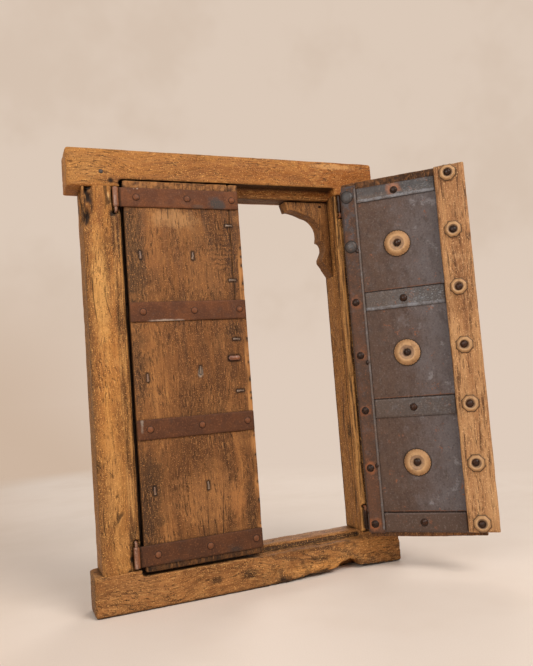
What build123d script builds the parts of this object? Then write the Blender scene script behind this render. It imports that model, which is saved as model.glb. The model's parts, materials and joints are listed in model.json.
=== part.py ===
from build123d import *
import os
from math import cos, pi, radians, sin

# A small wooden window with two iron-clad shutters, standing on its sill.
# Millimetres. X runs along the sill, Y from the inner side (front) to the outer side
# (back), Z up. The origin is the middle of the sill's bottom face.

os.makedirs("parts", exist_ok=True)

# Frame
frame_height = 600.0
frame_depth = 52.0
opening_width = 320.0
stile_width = 50.0
lintel_height = 52.0
lintel_horn = 18.0            # the lintel runs past the stiles
sill_height = 51.5
sill_horn = 10.5
worn_edge = 2.5
horn_wear = 9.0               # the sill's rear corners are worn back further

# Rebate for the shutters, between the stiles
rebate_depth = 20.0           # from the front face back to the stop
lintel_rebate_rise = 11.0     # above the lintel's lower front edge
lintel_lip_drop = 3.5         # the stop hangs below the lintel's lower front edge
sill_rebate_drop = 8.5        # below the sill's upper front edge

# Mortise joints
tenon_thickness = 15.0
tenon_shoulder = 8.0
tenon_length = 32.0
mortise_clearance = 0.1
peg_radius = 4.0
peg_sides = 8
peg_length = 38.0
peg_clearance = 0.05

# Bead on the stiles' inner front edge, with a quirk behind it on either face
bead_width = 12.0             # along the front face
bead_reveal = 18.5            # along the reveal
bead_radius = 6.0
quirk_depth = 1.6
quirk_width = 1.6

# Rot along the sill's lower front edge, right of the middle
wear_start = 46.5
wear_length = 159.5
wear_height = 15.0
wear_depth = 30.0
wear_shares = (
    (0.153, 0.375), (0.36, 0.303), (0.429, 0.474), (0.454, 0.81),
    (0.533, 1), (0.642, 0.855), (0.655, 0.31),
)

# Arch brackets: shares of the width towards the middle and of the drop
bracket_width = 72.0
bracket_drop = 115.0
bracket_thickness = 22.0
bracket_setback = 26.0        # from the frame's front face
bracket_gap = 0.8             # under the lintel's lip
bracket_shares = {
    "corner": (0, 0),
    "arm_top": (1, 0),
    "arm_nib": (0.94, 0.12),
    "arm_step": (0.87, 0.11),
    "arm_belly": (0.7, 0.135),
    "hollow_start": (0.53, 0.18),
    "hollow_middle": (0.285, 0.275),
    "hollow_end": (0.215, 0.435),
    "upper_nib": (0.235, 0.515),
    "cusp": (0.175, 0.53),
    "cusp_hollow": (0.125, 0.6),
    "cusp_foot": (0.15, 0.67),
    "belly": (0.215, 0.75),
    "belly_foot": (0.222, 0.79),
    "step": (0.14, 0.86),
    "step_foot": (0.125, 0.885),
    "foot": (0, 1),
}
bracket_nail_inset = 13.3
bracket_nail_drop = 8.0
bracket_nail_radius = 2.0
bracket_nail_rise = 0.8
bracket_nail_shank = 20.0

# Hinges: a strap rolled round an upright pin whose other end is bent into the stile
hinge_inset = 6.6             # the pins stand this far inside the stiles' inner faces
pin_radius = 2.0
pin_clearance = 0.06
pin_proud = 0.5               # the pin's free end stands past the barrel
pin_stub = 6.0                # from the barrel's other end to the bend
pin_leg = 20.0                # how far the bent end reaches back
pocket_clearance = 0.9

# Shutters
leaf_thickness = 17.0
leaf_top_overlap = 8.5        # above the lintel's lower front edge
leaf_bottom_overlap = 5.0     # below the sill's upper front edge
left_edge_gap = 3.4           # from the stile to the left shutter's hinge edge
right_edge_gap = 2.0
left_reach = 5.0              # the left shutter's free edge is past the middle
right_reach = 0.9
lap_width = 7.0               # the free edges are half-lapped
right_rise = 2.2              # the right shutter is cut out of square
edge_board_width = 14.5
board_gap = 0.4
open_angle = 138.0            # the right shutter stands open by this much

# Iron straps on the inner face
strap_height = 26.0
strap_thickness = 2.0
top_barrel_gap = 1.0          # under the lintel
bottom_barrel_gap = 3.0       # over the sill
strap_end_gap = 1.0
middle_strap_shares = (0.34, 0.67)
rivet_hinge_inset = 17.0      # from the shutter's hinge edge
rivet_free_inset = 9.3        # from the strap's free end
rivet_middle_share = 0.52     # place of the middle rivet between the other two
rivet_radius = 3.4
rivet_rise = 1.2
rivet_shank = 12.0

# Iron sheet and straps on the outer face
sheet_thickness = 1.0
sheet_top_margin = 9.5
sheet_bottom_margin = 7.0
sheet_free_margin = 4.0
clad_strap_thickness = 1.5
upright_strap_width = 21.5
upright_strap_margin = 3.5
ridge_width = 3.0
ridge_rise = 1.0
ridge_taper = 30.0
lip_clearance = 1.0           # from what stands proud to the lintel's lip and the sill's stop
clad_end_strap_height = 21.0
nail_radius = 4.5
nail_rise = 2.4
nail_shank = 14.0
nail_line_offset = 2.0        # from the rosettes' line
upright_nail_inset = 8.0      # from the shutter's hinge edge
upright_nail_shares = (0.656, 0.505, 0.35, 0.19, 0.037)
stud_radius = 7.0
stud_rise = 2.6
stud_drop = 19.5
stud_pitch = 74.0
stud_crown_share = 0.6

# Nails of every kind
shank_width = 2.4
crown_share = 0.6             # a head's flat crown in its radius
rim_share = 0.15              # height of a head's upright rim in its rise
flat_head_radius = 3.0
flat_head_rise = 1.2
head_sides = 8

# Rosettes on the outer face
rosette_radius = 19.8
rosette_rise = 5.0
rosette_plate = 0.9
rosette_hollow = 7.5          # radius of the dished middle
rosette_floor = 1.6
rosette_teeth = 28
tooth_depth = 1.3
rosette_height_shares = (0.809, 0.503, 0.202)
left_rosette_share = 0.583
right_rosette_share = 0.496
rosette_nail_radius = 4.8
rosette_nail_rise = 3.2
lip_share = 0.8               # height of the ring's inner lip in the rosette's rise
crest_share = 0.45            # place of the ring's crest between its lip and its rim
crest_flat = 0.4
ring_sides = 16

# Batten on the right shutter, which laps the left one
batten_width = 41.0
batten_overhang = 16.7
batten_thickness = 12.0
batten_top_margin = 1.5
batten_bottom_margin = 9.0
batten_worn_edge = 1.5
lap_relief = 2.2
batten_rosette_count = 7
batten_rosette_inset = 12.5   # of the end rosettes, from the batten's ends
batten_rosette_offset = 18.8  # from the batten's inner edge
batten_rosette_radius = 13.0
batten_rosette_sides = 8
batten_rosette_sag = 1.2      # each side is hollow
batten_rosette_rise = 3.6
batten_rosette_plate = 0.8
batten_rosette_hollow = 5.5
batten_nail_radius = 5.0
batten_nail_rise = 3.4

# Nail points bent over on the inner face
clench_length = 10.0
clench_width = 1.8
clench_rise = 1.3
edge_nail_setback = 17.0      # from the left shutter's free edge
edge_nail_shares = (0.885, 0.734, 0.573, 0.433)
hinge_nail_offset = 10.0      # from the line of the upright strap's nails
hinge_nail_shares = (0.804, 0.484, 0.198)

# Latch staple at the left shutter's free edge
latch_setback = 22.6
latch_height_share = 0.522
latch_length = 16.0
latch_width = 5.5
latch_rise = 3.6
latch_rounding = 1.2

# Small nail on the lintel's face
lintel_nail_inset = 26.4      # from the stile's outer face
lintel_nail_drop = 32.0
lintel_nail_radius = 2.4
lintel_nail_rise = 1.0

# Levels and lines worked out from the sizes above
front = -frame_depth / 2
back = frame_depth / 2
lintel_bottom = frame_height - lintel_height
lip_bottom = lintel_bottom - lintel_lip_drop
jamb = opening_width / 2
stile_outer = jamb + stile_width
stile_middle = jamb + stile_width / 2
tenon_width = stile_width - 2 * tenon_shoulder
peg_heights = (sill_height - tenon_length / 2, lintel_bottom + tenon_length / 2)
hinge_x = jamb + hinge_inset
pin_y = front - strap_thickness / 2
barrel_radius = pin_radius + pin_clearance + strap_thickness
wood_inner = strap_thickness / 2
wood_outer = wood_inner + leaf_thickness
sheet_outer = wood_outer + sheet_thickness
clad_outer = sheet_outer + clad_strap_thickness
batten_outer = sheet_outer + batten_thickness
leaf_top = lintel_bottom + leaf_top_overlap
leaf_bottom = sill_height - leaf_bottom_overlap
leaf_height = leaf_top - leaf_bottom
top_strap = lintel_bottom - top_barrel_gap - strap_height / 2
bottom_strap = sill_height + bottom_barrel_gap + strap_height / 2
lower_strap, upper_strap = [
    bottom_strap + share * (top_strap - bottom_strap) for share in middle_strap_shares
]
strap_heights = (top_strap, upper_strap, lower_strap, bottom_strap)


def keep(piece, name):
    piece.label = name
    export_step(piece, f"parts/{name}.step")


def beam_section(length, height, horn_radius_back):
    """A squared beam lying on the ground plane, worn at its ends."""
    with BuildPart() as beam:
        with BuildSketch():
            Rectangle(length, frame_depth)
        extrude(amount=height)
        fillet(beam.edges().filter_by(Axis.Z).group_by(Axis.Y)[0], worn_edge)
        fillet(beam.edges().filter_by(Axis.Z).group_by(Axis.Y)[-1], horn_radius_back)
    return beam.part


def mortises(level, depth):
    """Mortises at both stiles, cut from a level up or down into the beam around them."""
    with BuildPart() as pockets:
        with BuildSketch(Plane.XY.offset(level)):
            with Locations((-stile_middle, 0), (stile_middle, 0)):
                Rectangle(tenon_width + 2 * mortise_clearance, tenon_thickness + 2 * mortise_clearance)
        extrude(amount=depth)
    return pockets.part


def peg_rods(places, radius):
    """Eight-sided rods from the back, for the whittled pegs and for their holes."""
    with BuildPart() as rods:
        with BuildSketch(Plane.XZ.offset(-back)):
            with Locations(*places):
                RegularPolygon(radius, peg_sides)
        extrude(amount=peg_length)
    return rods.part


def forged_nails(spots, direction, radius, rise, shank):
    """Eight-faced nail heads that point in a direction, each with a square shank behind it."""
    with BuildPart() as nail:
        with BuildSketch():
            RegularPolygon(radius, head_sides)
        extrude(amount=rise)
        crown = nail.faces().sort_by(Axis.Z)[-1]
        run = radius * (1 - crown_share) * cos(pi / head_sides)
        chamfer(crown.edges(), run, rise * (1 - rim_share), reference=crown)
        with BuildSketch():
            Rectangle(shank_width, shank_width)
        extrude(amount=-shank)
    level = Vector(direction).cross(Vector(0, 0, 1))
    with BuildPart() as nails:
        with Locations(*[Plane(spot, x_dir=level, z_dir=direction) for spot in spots]):
            add(nail.part)
    return nails.part


# Lintel: rebated for the shutters between the stiles, with a lip behind the rebate
lintel_length = opening_width + 2 * stile_width + 2 * lintel_horn
with BuildPart() as lintel:
    with Locations((0, 0, lintel_bottom)):
        add(beam_section(lintel_length, lintel_height, worn_edge))
    chamfer(lintel.faces().sort_by(Axis.Z)[-1].edges().filter_by(Axis.X), worn_edge)
    with BuildSketch(Plane.XZ.offset(-front)):
        with Locations((0, lintel_bottom)):
            Rectangle(opening_width, lintel_rebate_rise, align=(Align.CENTER, Align.MIN))
    extrude(amount=-rebate_depth, mode=Mode.SUBTRACT)
    with BuildSketch(Plane.XZ.offset(-back)):
        with Locations((0, lintel_bottom)):
            Rectangle(opening_width, lintel_lip_drop, align=(Align.CENTER, Align.MAX))
    extrude(amount=frame_depth - rebate_depth)
    add(mortises(lintel_bottom, tenon_length + mortise_clearance), mode=Mode.SUBTRACT)
    upper_pegs = [(-stile_middle, peg_heights[1]), (stile_middle, peg_heights[1])]
    add(peg_rods(upper_pegs, peg_radius + peg_clearance), mode=Mode.SUBTRACT)
keep(lintel.part, "lintel")

# Sill: a like beam below, with its lower right front edge rotted away
wear_points = [
    (wear_start + along_share * wear_length, up_share * wear_height)
    for along_share, up_share in wear_shares
]
sill_length = opening_width + 2 * stile_width + 2 * sill_horn
with BuildPart() as sill:
    add(beam_section(sill_length, sill_height, horn_wear))
    chamfer(sill.faces().sort_by(Axis.Z)[0].edges().filter_by(Axis.X), worn_edge)
    with BuildSketch(Plane.XZ.offset(-front)):
        with Locations((0, sill_height)):
            Rectangle(opening_width, sill_rebate_drop, align=(Align.CENTER, Align.MAX))
    extrude(amount=-rebate_depth, mode=Mode.SUBTRACT)
    add(mortises(sill_height, -tenon_length - mortise_clearance), mode=Mode.SUBTRACT)
    lower_pegs = [(-stile_middle, peg_heights[0]), (stile_middle, peg_heights[0])]
    add(peg_rods(lower_pegs, peg_radius + peg_clearance), mode=Mode.SUBTRACT)
    with BuildSketch(Plane.XZ.offset(-front)):
        with BuildLine():
            Polyline((wear_start, 0), *wear_points, (wear_start + wear_length, 0), close=True)
        make_face()
    extrude(amount=-wear_depth, mode=Mode.SUBTRACT)
keep(sill.part, "sill")

# Stiles: tenoned at both ends, beaded on the inner front edge, pocketed for the hinges
top_bend = top_strap - strap_height / 2 - pin_stub
bottom_bend = bottom_strap + strap_height / 2 + pin_stub
pocket_reach = hinge_inset + barrel_radius + pocket_clearance
pocket_depth = barrel_radius + pocket_clearance - strap_thickness / 2
pocket_spans = (
    (top_bend - pin_radius - pocket_clearance, lintel_bottom),
    (sill_height, bottom_bend + pin_radius + pocket_clearance),
)
bead_middle = bead_radius * (1 - sin(radians(45)))


def stile_part(side):
    with BuildPart() as stile:
        with BuildSketch(Plane.XY.offset(sill_height)):
            with BuildLine():
                Polyline(
                    (side * jamb, front + bead_reveal),
                    (side * jamb, back),
                    (side * stile_outer, back),
                    (side * stile_outer, front),
                    (side * (jamb + bead_width), front),
                    (side * (jamb + bead_width - quirk_width / 2), front + quirk_depth),
                    (side * (jamb + bead_width - quirk_width), front),
                    (side * (jamb + bead_radius), front),
                )
                ThreePointArc(
                    (side * (jamb + bead_radius), front),
                    (side * (jamb + bead_middle), front + bead_middle),
                    (side * jamb, front + bead_radius),
                )
                Polyline(
                    (side * jamb, front + bead_radius),
                    (side * jamb, front + bead_reveal - quirk_width),
                    (side * (jamb + quirk_depth), front + bead_reveal - quirk_width / 2),
                    (side * jamb, front + bead_reveal),
                )
            make_face()
        extrude(amount=lintel_bottom - sill_height)
        outer_face = stile.faces().sort_by(Axis.X)[-1 if side > 0 else 0]
        chamfer(outer_face.edges().filter_by(Axis.Z), worn_edge)
        with BuildSketch(Plane.XY.offset(sill_height - tenon_length)):
            with Locations((side * stile_middle, 0)):
                Rectangle(tenon_width, tenon_thickness)
        extrude(amount=lintel_bottom - sill_height + 2 * tenon_length)
        with BuildSketch(Plane.XZ.offset(-front)):
            for floor, ceiling in pocket_spans:
                with Locations((side * (jamb + pocket_reach / 2), (floor + ceiling) / 2)):
                    Rectangle(pocket_reach, ceiling - floor)
        extrude(amount=-pocket_depth, mode=Mode.SUBTRACT)
        with BuildSketch(Plane.XZ.offset(-pin_y)):
            with Locations((side * hinge_x, top_bend), (side * hinge_x, bottom_bend)):
                Circle(pin_radius + peg_clearance)
        extrude(amount=-pin_leg, mode=Mode.SUBTRACT)
        stile_pegs = [(side * stile_middle, height) for height in peg_heights]
        add(peg_rods(stile_pegs, peg_radius + peg_clearance), mode=Mode.SUBTRACT)
    return stile.part


keep(stile_part(-1), "left_stile")
keep(stile_part(1), "right_stile")

# Pegs that lock the four joints
peg_places = [(x, height) for x in (-stile_middle, stile_middle) for height in peg_heights]
keep(peg_rods(peg_places, peg_radius), "tenon_pegs")


# Arch brackets: a blunt arm, a wide hollow, a cusp with a small hollow, and a sloped foot
def bracket_part(side):
    spot = {
        name: (
            side * (jamb - in_share * bracket_width),
            lip_bottom - bracket_gap - down_share * bracket_drop,
        )
        for name, (in_share, down_share) in bracket_shares.items()
    }
    with BuildPart() as bracket:
        with BuildSketch(Plane.XZ.offset(-front - bracket_setback)):
            with BuildLine():
                Polyline(spot["corner"], spot["arm_top"], spot["arm_nib"], spot["arm_step"])
                ThreePointArc(spot["arm_step"], spot["arm_belly"], spot["hollow_start"])
                ThreePointArc(spot["hollow_start"], spot["hollow_middle"], spot["hollow_end"])
                Polyline(spot["hollow_end"], spot["upper_nib"], spot["cusp"])
                ThreePointArc(spot["cusp"], spot["cusp_hollow"], spot["cusp_foot"])
                Polyline(
                    spot["cusp_foot"], spot["belly"], spot["belly_foot"], spot["step"],
                    spot["step_foot"], spot["foot"], spot["corner"],
                )
            make_face()
        extrude(amount=-bracket_thickness)
    return bracket.part


keep(bracket_part(-1), "left_bracket")
keep(bracket_part(1), "right_bracket")

# One nail up through each bracket into the lintel's lip
bracket_nail_spots = [
    (side * (jamb - bracket_nail_inset), front + bracket_setback, lip_bottom - bracket_nail_drop)
    for side in (-1, 1)
]
bracket_nails = forged_nails(
    bracket_nail_spots, (0, -1, -1), bracket_nail_radius, bracket_nail_rise, bracket_nail_shank
)
keep(bracket_nails, "bracket_nails")

# Small nail on the lintel's face
lintel_nail_spot = (-stile_outer + lintel_nail_inset, front, frame_height - lintel_nail_drop)
keep(
    forged_nails([lintel_nail_spot], (0, -1, 0), lintel_nail_radius, lintel_nail_rise, nail_shank),
    "lintel_nail",
)


# Hinge pins: one end free in the barrel, the other bent back into the stile
def hinge_pin(side, free_end, bend):
    with BuildPart() as pin:
        with BuildLine(Plane.YZ.offset(side * hinge_x)) as route:
            Polyline((pin_y, free_end), (pin_y, bend), (pin_y + pin_leg, bend))
        with BuildSketch(Plane.XY.offset(free_end)):
            with Locations((side * hinge_x, pin_y)):
                Circle(pin_radius)
        sweep(path=route.line, transition=Transition.RIGHT)
    return pin.part


for side, name in ((-1, "left"), (1, "right")):
    keep(hinge_pin(side, top_strap + strap_height / 2 + pin_proud, top_bend), f"{name}_top_hinge_pin")
    keep(
        hinge_pin(side, bottom_strap - strap_height / 2 - pin_proud, bottom_bend),
        f"{name}_bottom_hinge_pin",
    )


class Leaf:
    """One shutter's own directions: s from its pin to its free edge, t outwards."""

    def __init__(self, side, angle, edge_gap, reach, rise, rosette_share):
        turn = radians(angle)
        self.side = side
        self.along = Vector(-side * cos(turn), -sin(turn), 0)
        self.outward = Vector(-side * sin(turn), cos(turn), 0)
        self.axis = Vector(side * hinge_x, pin_y, 0)
        self.hinge_edge = hinge_inset + edge_gap
        self.width = hinge_x + reach
        self.rise = rise
        self.rosette_line = rosette_share * self.width
        self.inner_end = self.width - (lap_width if side > 0 else 0)
        self.outer_end = self.width - (0 if side > 0 else lap_width)
        self.sheet_end = self.outer_end - sheet_free_margin

    def face(self, t):
        """Sketch plane parallel to the shutter, with s and height as its axes."""
        return Plane(self.axis + self.outward * t, x_dir=self.along, z_dir=self.outward * self.side)

    def out(self, length):
        """Extrusion amount that runs a length outwards from face(t)."""
        return self.side * length

    def plan(self, centre):
        """Level sketch plane whose X is s. Its Y is t on the left shutter, minus t on the right."""
        return Plane(centre, x_dir=self.along, z_dir=(0, 0, 1))

    def spot(self, s, t, height):
        return self.axis + self.along * s + self.outward * t + Vector(0, 0, height)

    def slant(self, s):
        return self.rise * s / self.width

    def nails(self, places, t, outwards, radius, rise, shank):
        """Forged nails on the face at t. Their heads point outwards, or inwards if outwards is -1."""
        spots = [self.spot(s, t, height) for s, height in places]
        return forged_nails(spots, self.outward * outwards, radius, rise, shank)

    def bar(self, s_span, t_span, bottom, top):
        """A flat bar between two distances s, two distances t and two heights."""
        with BuildPart() as plate:
            with BuildSketch(self.face(t_span[0])):
                with Locations(((s_span[0] + s_span[1]) / 2, (bottom + top) / 2)):
                    Rectangle(s_span[1] - s_span[0], top - bottom)
            extrude(amount=self.out(t_span[1] - t_span[0]))
        return plate.part

    def board(self, start, end, t_start, t_end):
        """A board whose top and bottom follow the shutter's slant."""
        with BuildPart() as plank:
            with BuildSketch(self.face(t_start)):
                with BuildLine():
                    Polyline(
                        (start, leaf_bottom + self.slant(start)),
                        (end, leaf_bottom + self.slant(end)),
                        (end, leaf_top + self.slant(end)),
                        (start, leaf_top + self.slant(start)),
                        close=True,
                    )
                make_face()
            extrude(amount=self.out(t_end - t_start))
        return plank.part

    def hinge_strap(self, height):
        """An iron strap on the inner face with its end rolled round the pin."""
        with BuildPart() as strap:
            with BuildSketch(self.plan(self.spot(0, 0, height - strap_height / 2))):
                Circle(barrel_radius)
                with Locations(((self.inner_end - strap_end_gap) / 2, 0)):
                    Rectangle(self.inner_end - strap_end_gap, strap_thickness)
                Circle(pin_radius + pin_clearance, mode=Mode.SUBTRACT)
            extrude(amount=strap_height)
        return strap.part

    def clenches(self, places, level):
        """Nail points bent over on the inner face, level or upright."""
        with BuildPart() as points:
            with BuildSketch(self.face(wood_inner)):
                with Locations(*places):
                    Rectangle(clench_length, clench_width, rotation=0 if level else 90)
            extrude(amount=-self.out(clench_rise))
        return points.part

    def boss(self, s, height, seat, radius, rise, rim, crown_radius):
        """A many-sided head round a nail's line, sloped from its rim in to its crown."""
        with BuildPart() as head:
            with BuildSketch(self.face(seat)):
                with Locations((s, height)):
                    RegularPolygon(radius, ring_sides)
            extrude(amount=self.out(rise))
            crown = head.faces().sort_by(Axis((0, 0, 0), self.outward))[-1]
            run = (radius - crown_radius) * cos(pi / ring_sides)
            chamfer(crown.edges(), run, rise - rim, reference=crown)
        return head.part

    def ring(self, s, height, seat, radius, rise, hollow, plate, floor):
        """A raised ring round a dished middle."""
        crest = hollow + crest_share * (radius - hollow)
        with BuildPart() as ring:
            add(self.boss(s, height, seat, radius, rise, plate, crest))
            with BuildSketch(self.face(seat + floor)):
                with Locations((s, height)):
                    RegularPolygon(hollow, ring_sides)
            extrude(amount=self.out(rise - floor), mode=Mode.SUBTRACT)
            crown = ring.faces().sort_by(Axis((0, 0, 0), self.outward))[-1]
            run = (crest - hollow) * cos(pi / ring_sides) - crest_flat
            chamfer(crown.inner_wires()[0].edges(), run, rise * (1 - lip_share), reference=crown)
        return ring.part


left_leaf = Leaf(-1, 0, left_edge_gap, left_reach, 0, left_rosette_share)
right_leaf = Leaf(1, open_angle, right_edge_gap, right_reach, right_rise, right_rosette_share)


def build_boards(leaf, name):
    seam = leaf.width - edge_board_width
    lap_middle = (wood_inner + wood_outer) / 2
    keep(leaf.board(leaf.hinge_edge, seam - board_gap, wood_inner, wood_outer), f"{name}_main_board")
    with BuildPart() as edge_board:
        add(leaf.board(seam, leaf.inner_end, wood_inner, lap_middle))
        add(leaf.board(seam, leaf.outer_end, lap_middle, wood_outer))
    keep(edge_board.part, f"{name}_edge_board")


def build_inner_iron(leaf, name):
    keep(leaf.hinge_strap(top_strap), f"{name}_top_hinge_strap")
    keep(leaf.hinge_strap(bottom_strap), f"{name}_bottom_hinge_strap")
    strap_end = leaf.inner_end - strap_end_gap
    for height, level in ((upper_strap, "upper"), (lower_strap, "lower")):
        strap = leaf.bar(
            (leaf.hinge_edge, strap_end), (-wood_inner, wood_inner),
            height - strap_height / 2, height + strap_height / 2,
        )
        keep(strap, f"{name}_{level}_strap")
    first, last = leaf.hinge_edge + rivet_hinge_inset, strap_end - rivet_free_inset
    lines = (first, first + rivet_middle_share * (last - first), last)
    places = [(s, height) for height in strap_heights for s in lines]
    rivets = leaf.nails(places, -wood_inner, -1, rivet_radius, rivet_rise, rivet_shank)
    keep(rivets, f"{name}_strap_rivets")


def build_cladding(leaf, name):
    upright_end = leaf.hinge_edge + upright_strap_width
    clad_end = leaf.sheet_end if leaf.side < 0 else leaf.width + batten_overhang - batten_width
    sheet = leaf.bar(
        (leaf.hinge_edge, leaf.sheet_end), (wood_outer, sheet_outer),
        leaf_bottom + sheet_bottom_margin, leaf_top - sheet_top_margin,
    )
    keep(sheet, f"{name}_iron_sheet")
    with BuildPart() as upright_strap:
        add(leaf.bar(
            (leaf.hinge_edge, upright_end), (sheet_outer, clad_outer),
            leaf_bottom + sheet_bottom_margin, leaf_top - upright_strap_margin,
        ))
        ridge_span = (sill_height + lip_clearance, lip_bottom - lip_clearance)
        with BuildSketch(leaf.face(clad_outer)):
            with Locations((upright_end - ridge_width / 2, sum(ridge_span) / 2)):
                Rectangle(ridge_width, ridge_span[1] - ridge_span[0])
        extrude(amount=leaf.out(ridge_rise), taper=ridge_taper)
    keep(upright_strap.part, f"{name}_outer_hinge_strap")
    clad_top = leaf_top - sheet_top_margin
    clad_straps = (
        ("top", clad_top - clad_end_strap_height, clad_top),
        ("upper", upper_strap - strap_height / 2, upper_strap + strap_height / 2),
        ("lower", lower_strap - strap_height / 2, lower_strap + strap_height / 2),
        ("bottom", bottom_strap - strap_height / 2, bottom_strap + strap_height / 2),
    )
    nail_places = [
        (leaf.hinge_edge + upright_nail_inset, leaf_bottom + share * leaf_height)
        for share in upright_nail_shares
    ]
    for level, bottom, top in clad_straps:
        keep(
            leaf.bar((upright_end, clad_end), (sheet_outer, clad_outer), bottom, top),
            f"{name}_outer_{level}_strap",
        )
        nail_places.append((leaf.rosette_line + nail_line_offset, (bottom + top) / 2))
    nails = leaf.nails(nail_places, clad_outer, 1, nail_radius, nail_rise, nail_shank)
    keep(nails, f"{name}_outer_nails")
    with BuildPart() as studs:
        for height in (leaf_top - stud_drop, leaf_top - stud_drop - stud_pitch):
            stud_line = leaf.hinge_edge + upright_nail_inset
            add(leaf.boss(
                stud_line, height, clad_outer, stud_radius, stud_rise, stud_rise * rim_share,
                stud_radius * stud_crown_share,
            ))
    keep(studs.part, f"{name}_studs")


def build_rosettes(leaf, name):
    heights = [leaf_bottom + share * leaf_height for share in rosette_height_shares]
    rim = [
        (rosette_radius - tooth_depth * (step % 2), radians(180 * step / rosette_teeth))
        for step in range(2 * rosette_teeth)
    ]
    with BuildPart() as rosettes:
        for height in heights:
            with BuildSketch(leaf.face(sheet_outer)):
                with BuildLine():
                    Polyline(
                        *[
                            (leaf.rosette_line + radius * cos(turn), height + radius * sin(turn))
                            for radius, turn in rim
                        ],
                        close=True,
                    )
                make_face()
            extrude(amount=leaf.out(rosette_plate))
            add(leaf.ring(
                leaf.rosette_line, height, sheet_outer, rosette_radius - 2 * tooth_depth,
                rosette_rise, rosette_hollow, rosette_plate, rosette_floor,
            ))
    keep(rosettes.part, f"{name}_rosettes")
    places = [(leaf.rosette_line, height) for height in heights]
    with BuildPart() as rosette_nails:
        add(leaf.nails(
            places, sheet_outer + rosette_floor, 1, rosette_nail_radius, rosette_nail_rise,
            sheet_outer + rosette_floor - wood_inner,
        ))
        add(leaf.clenches(
            [(place, height - clench_length / 2 + shank_width / 2) for place, height in places], False
        ))
    keep(rosette_nails.part, f"{name}_rosette_nails")


def build_hinge_side_nails(leaf, name):
    """Nails beside the upright strap, and on the left shutter along the sheet's free edge."""
    hinge_side = [
        (leaf.hinge_edge + upright_nail_inset + hinge_nail_offset, leaf_bottom + share * leaf_height)
        for share in hinge_nail_shares
    ]
    edge_side = [
        (leaf.width - edge_nail_setback, leaf_bottom + share * leaf_height)
        for share in edge_nail_shares
    ]
    with BuildPart() as nails:
        if leaf.side < 0:
            add(leaf.nails(
                edge_side, sheet_outer, 1, flat_head_radius, flat_head_rise, sheet_outer - wood_inner
            ))
            add(leaf.clenches(edge_side, True))
        add(leaf.nails(
            hinge_side, clad_outer, 1, flat_head_radius, flat_head_rise, clad_outer - wood_inner
        ))
        add(leaf.clenches(hinge_side, False))
    keep(nails.part, f"{name}_clenched_nails")


for leaf, name in ((left_leaf, "left"), (right_leaf, "right")):
    build_boards(leaf, name)
    build_inner_iron(leaf, name)
    build_cladding(leaf, name)
    build_rosettes(leaf, name)
    build_hinge_side_nails(leaf, name)

# The latch staple's thick end, driven through the left shutter and bent over
latch_height = leaf_bottom + latch_height_share * leaf_height
latch_place = left_leaf.width - latch_setback
with BuildPart() as latch_staple:
    with BuildSketch(left_leaf.face(wood_inner)):
        with Locations((latch_place, latch_height)):
            RectangleRounded(latch_length, latch_width, latch_rounding)
    extrude(amount=-left_leaf.out(latch_rise))
    with BuildSketch(left_leaf.face(wood_inner)):
        with Locations((latch_place, latch_height)):
            Rectangle(latch_width, latch_width)
    extrude(amount=left_leaf.out(leaf_thickness))
keep(latch_staple.part, "left_latch_staple")

# Batten on the right shutter: it overhangs the free edge and laps the left shutter
batten_end = right_leaf.width + batten_overhang
batten_start = batten_end - batten_width
batten_bottom = leaf_bottom + batten_bottom_margin
batten_top = leaf_top - batten_top_margin
with BuildPart() as right_batten:
    with BuildSketch(right_leaf.face(sheet_outer)):
        with BuildLine():
            Polyline(
                (batten_start, batten_bottom),
                (batten_end, batten_bottom),
                (batten_end, batten_top + right_leaf.slant(batten_end)),
                (batten_start, batten_top + right_leaf.slant(batten_start)),
                close=True,
            )
        make_face()
    extrude(amount=right_leaf.out(batten_thickness))
    outer_face = right_batten.faces().sort_by(Axis((0, 0, 0), right_leaf.outward))[-1]
    chamfer(outer_face.edges(), batten_worn_edge)
    relief = right_leaf.bar(
        (right_leaf.width, batten_end), (sheet_outer, sheet_outer + lap_relief),
        batten_bottom, batten_top + right_leaf.slant(batten_end),
    )
    add(relief, mode=Mode.SUBTRACT)
keep(right_batten.part, "right_batten")

# Eight-sided rosettes with hollow sides along the batten
rosette_line = batten_start + batten_rosette_offset
lowest_rosette = batten_bottom + batten_rosette_inset
highest_rosette = batten_top + right_leaf.slant(rosette_line) - batten_rosette_inset
rosette_pitch = (highest_rosette - lowest_rosette) / (batten_rosette_count - 1)
rosette_heights = [lowest_rosette + step * rosette_pitch for step in range(batten_rosette_count)]
side_angle = radians(360 / batten_rosette_sides)
side_middle = batten_rosette_radius * cos(side_angle / 2) - batten_rosette_sag
with BuildPart() as batten_rosettes:
    for height in rosette_heights:
        outline = [
            (
                rosette_line + radius * cos(side_angle * turns),
                height + radius * sin(side_angle * turns),
            )
            for step in range(batten_rosette_sides)
            for radius, turns in ((side_middle, step), (batten_rosette_radius, step + 1 / 2))
        ]
        with BuildSketch(right_leaf.face(batten_outer)):
            with BuildLine():
                Polyline(*outline, close=True)
            make_face()
        extrude(amount=right_leaf.out(batten_rosette_plate))
        add(right_leaf.ring(
            rosette_line, height, batten_outer, batten_rosette_radius - 2 * batten_rosette_sag,
            batten_rosette_rise, batten_rosette_hollow, batten_rosette_plate, batten_rosette_plate,
        ))
keep(batten_rosettes.part, "batten_rosettes")

batten_places = [(rosette_line, height) for height in rosette_heights]
with BuildPart() as batten_nails:
    add(right_leaf.nails(
        batten_places, batten_outer + batten_rosette_plate, 1, batten_nail_radius, batten_nail_rise,
        batten_outer + batten_rosette_plate - wood_inner,
    ))
    add(right_leaf.clenches(batten_places, False))
keep(batten_nails.part, "batten_nails")
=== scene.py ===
import bmesh
import bpy
import json
from math import cos, pi, radians, sin
from mathutils import Matrix, Vector, noise


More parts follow.
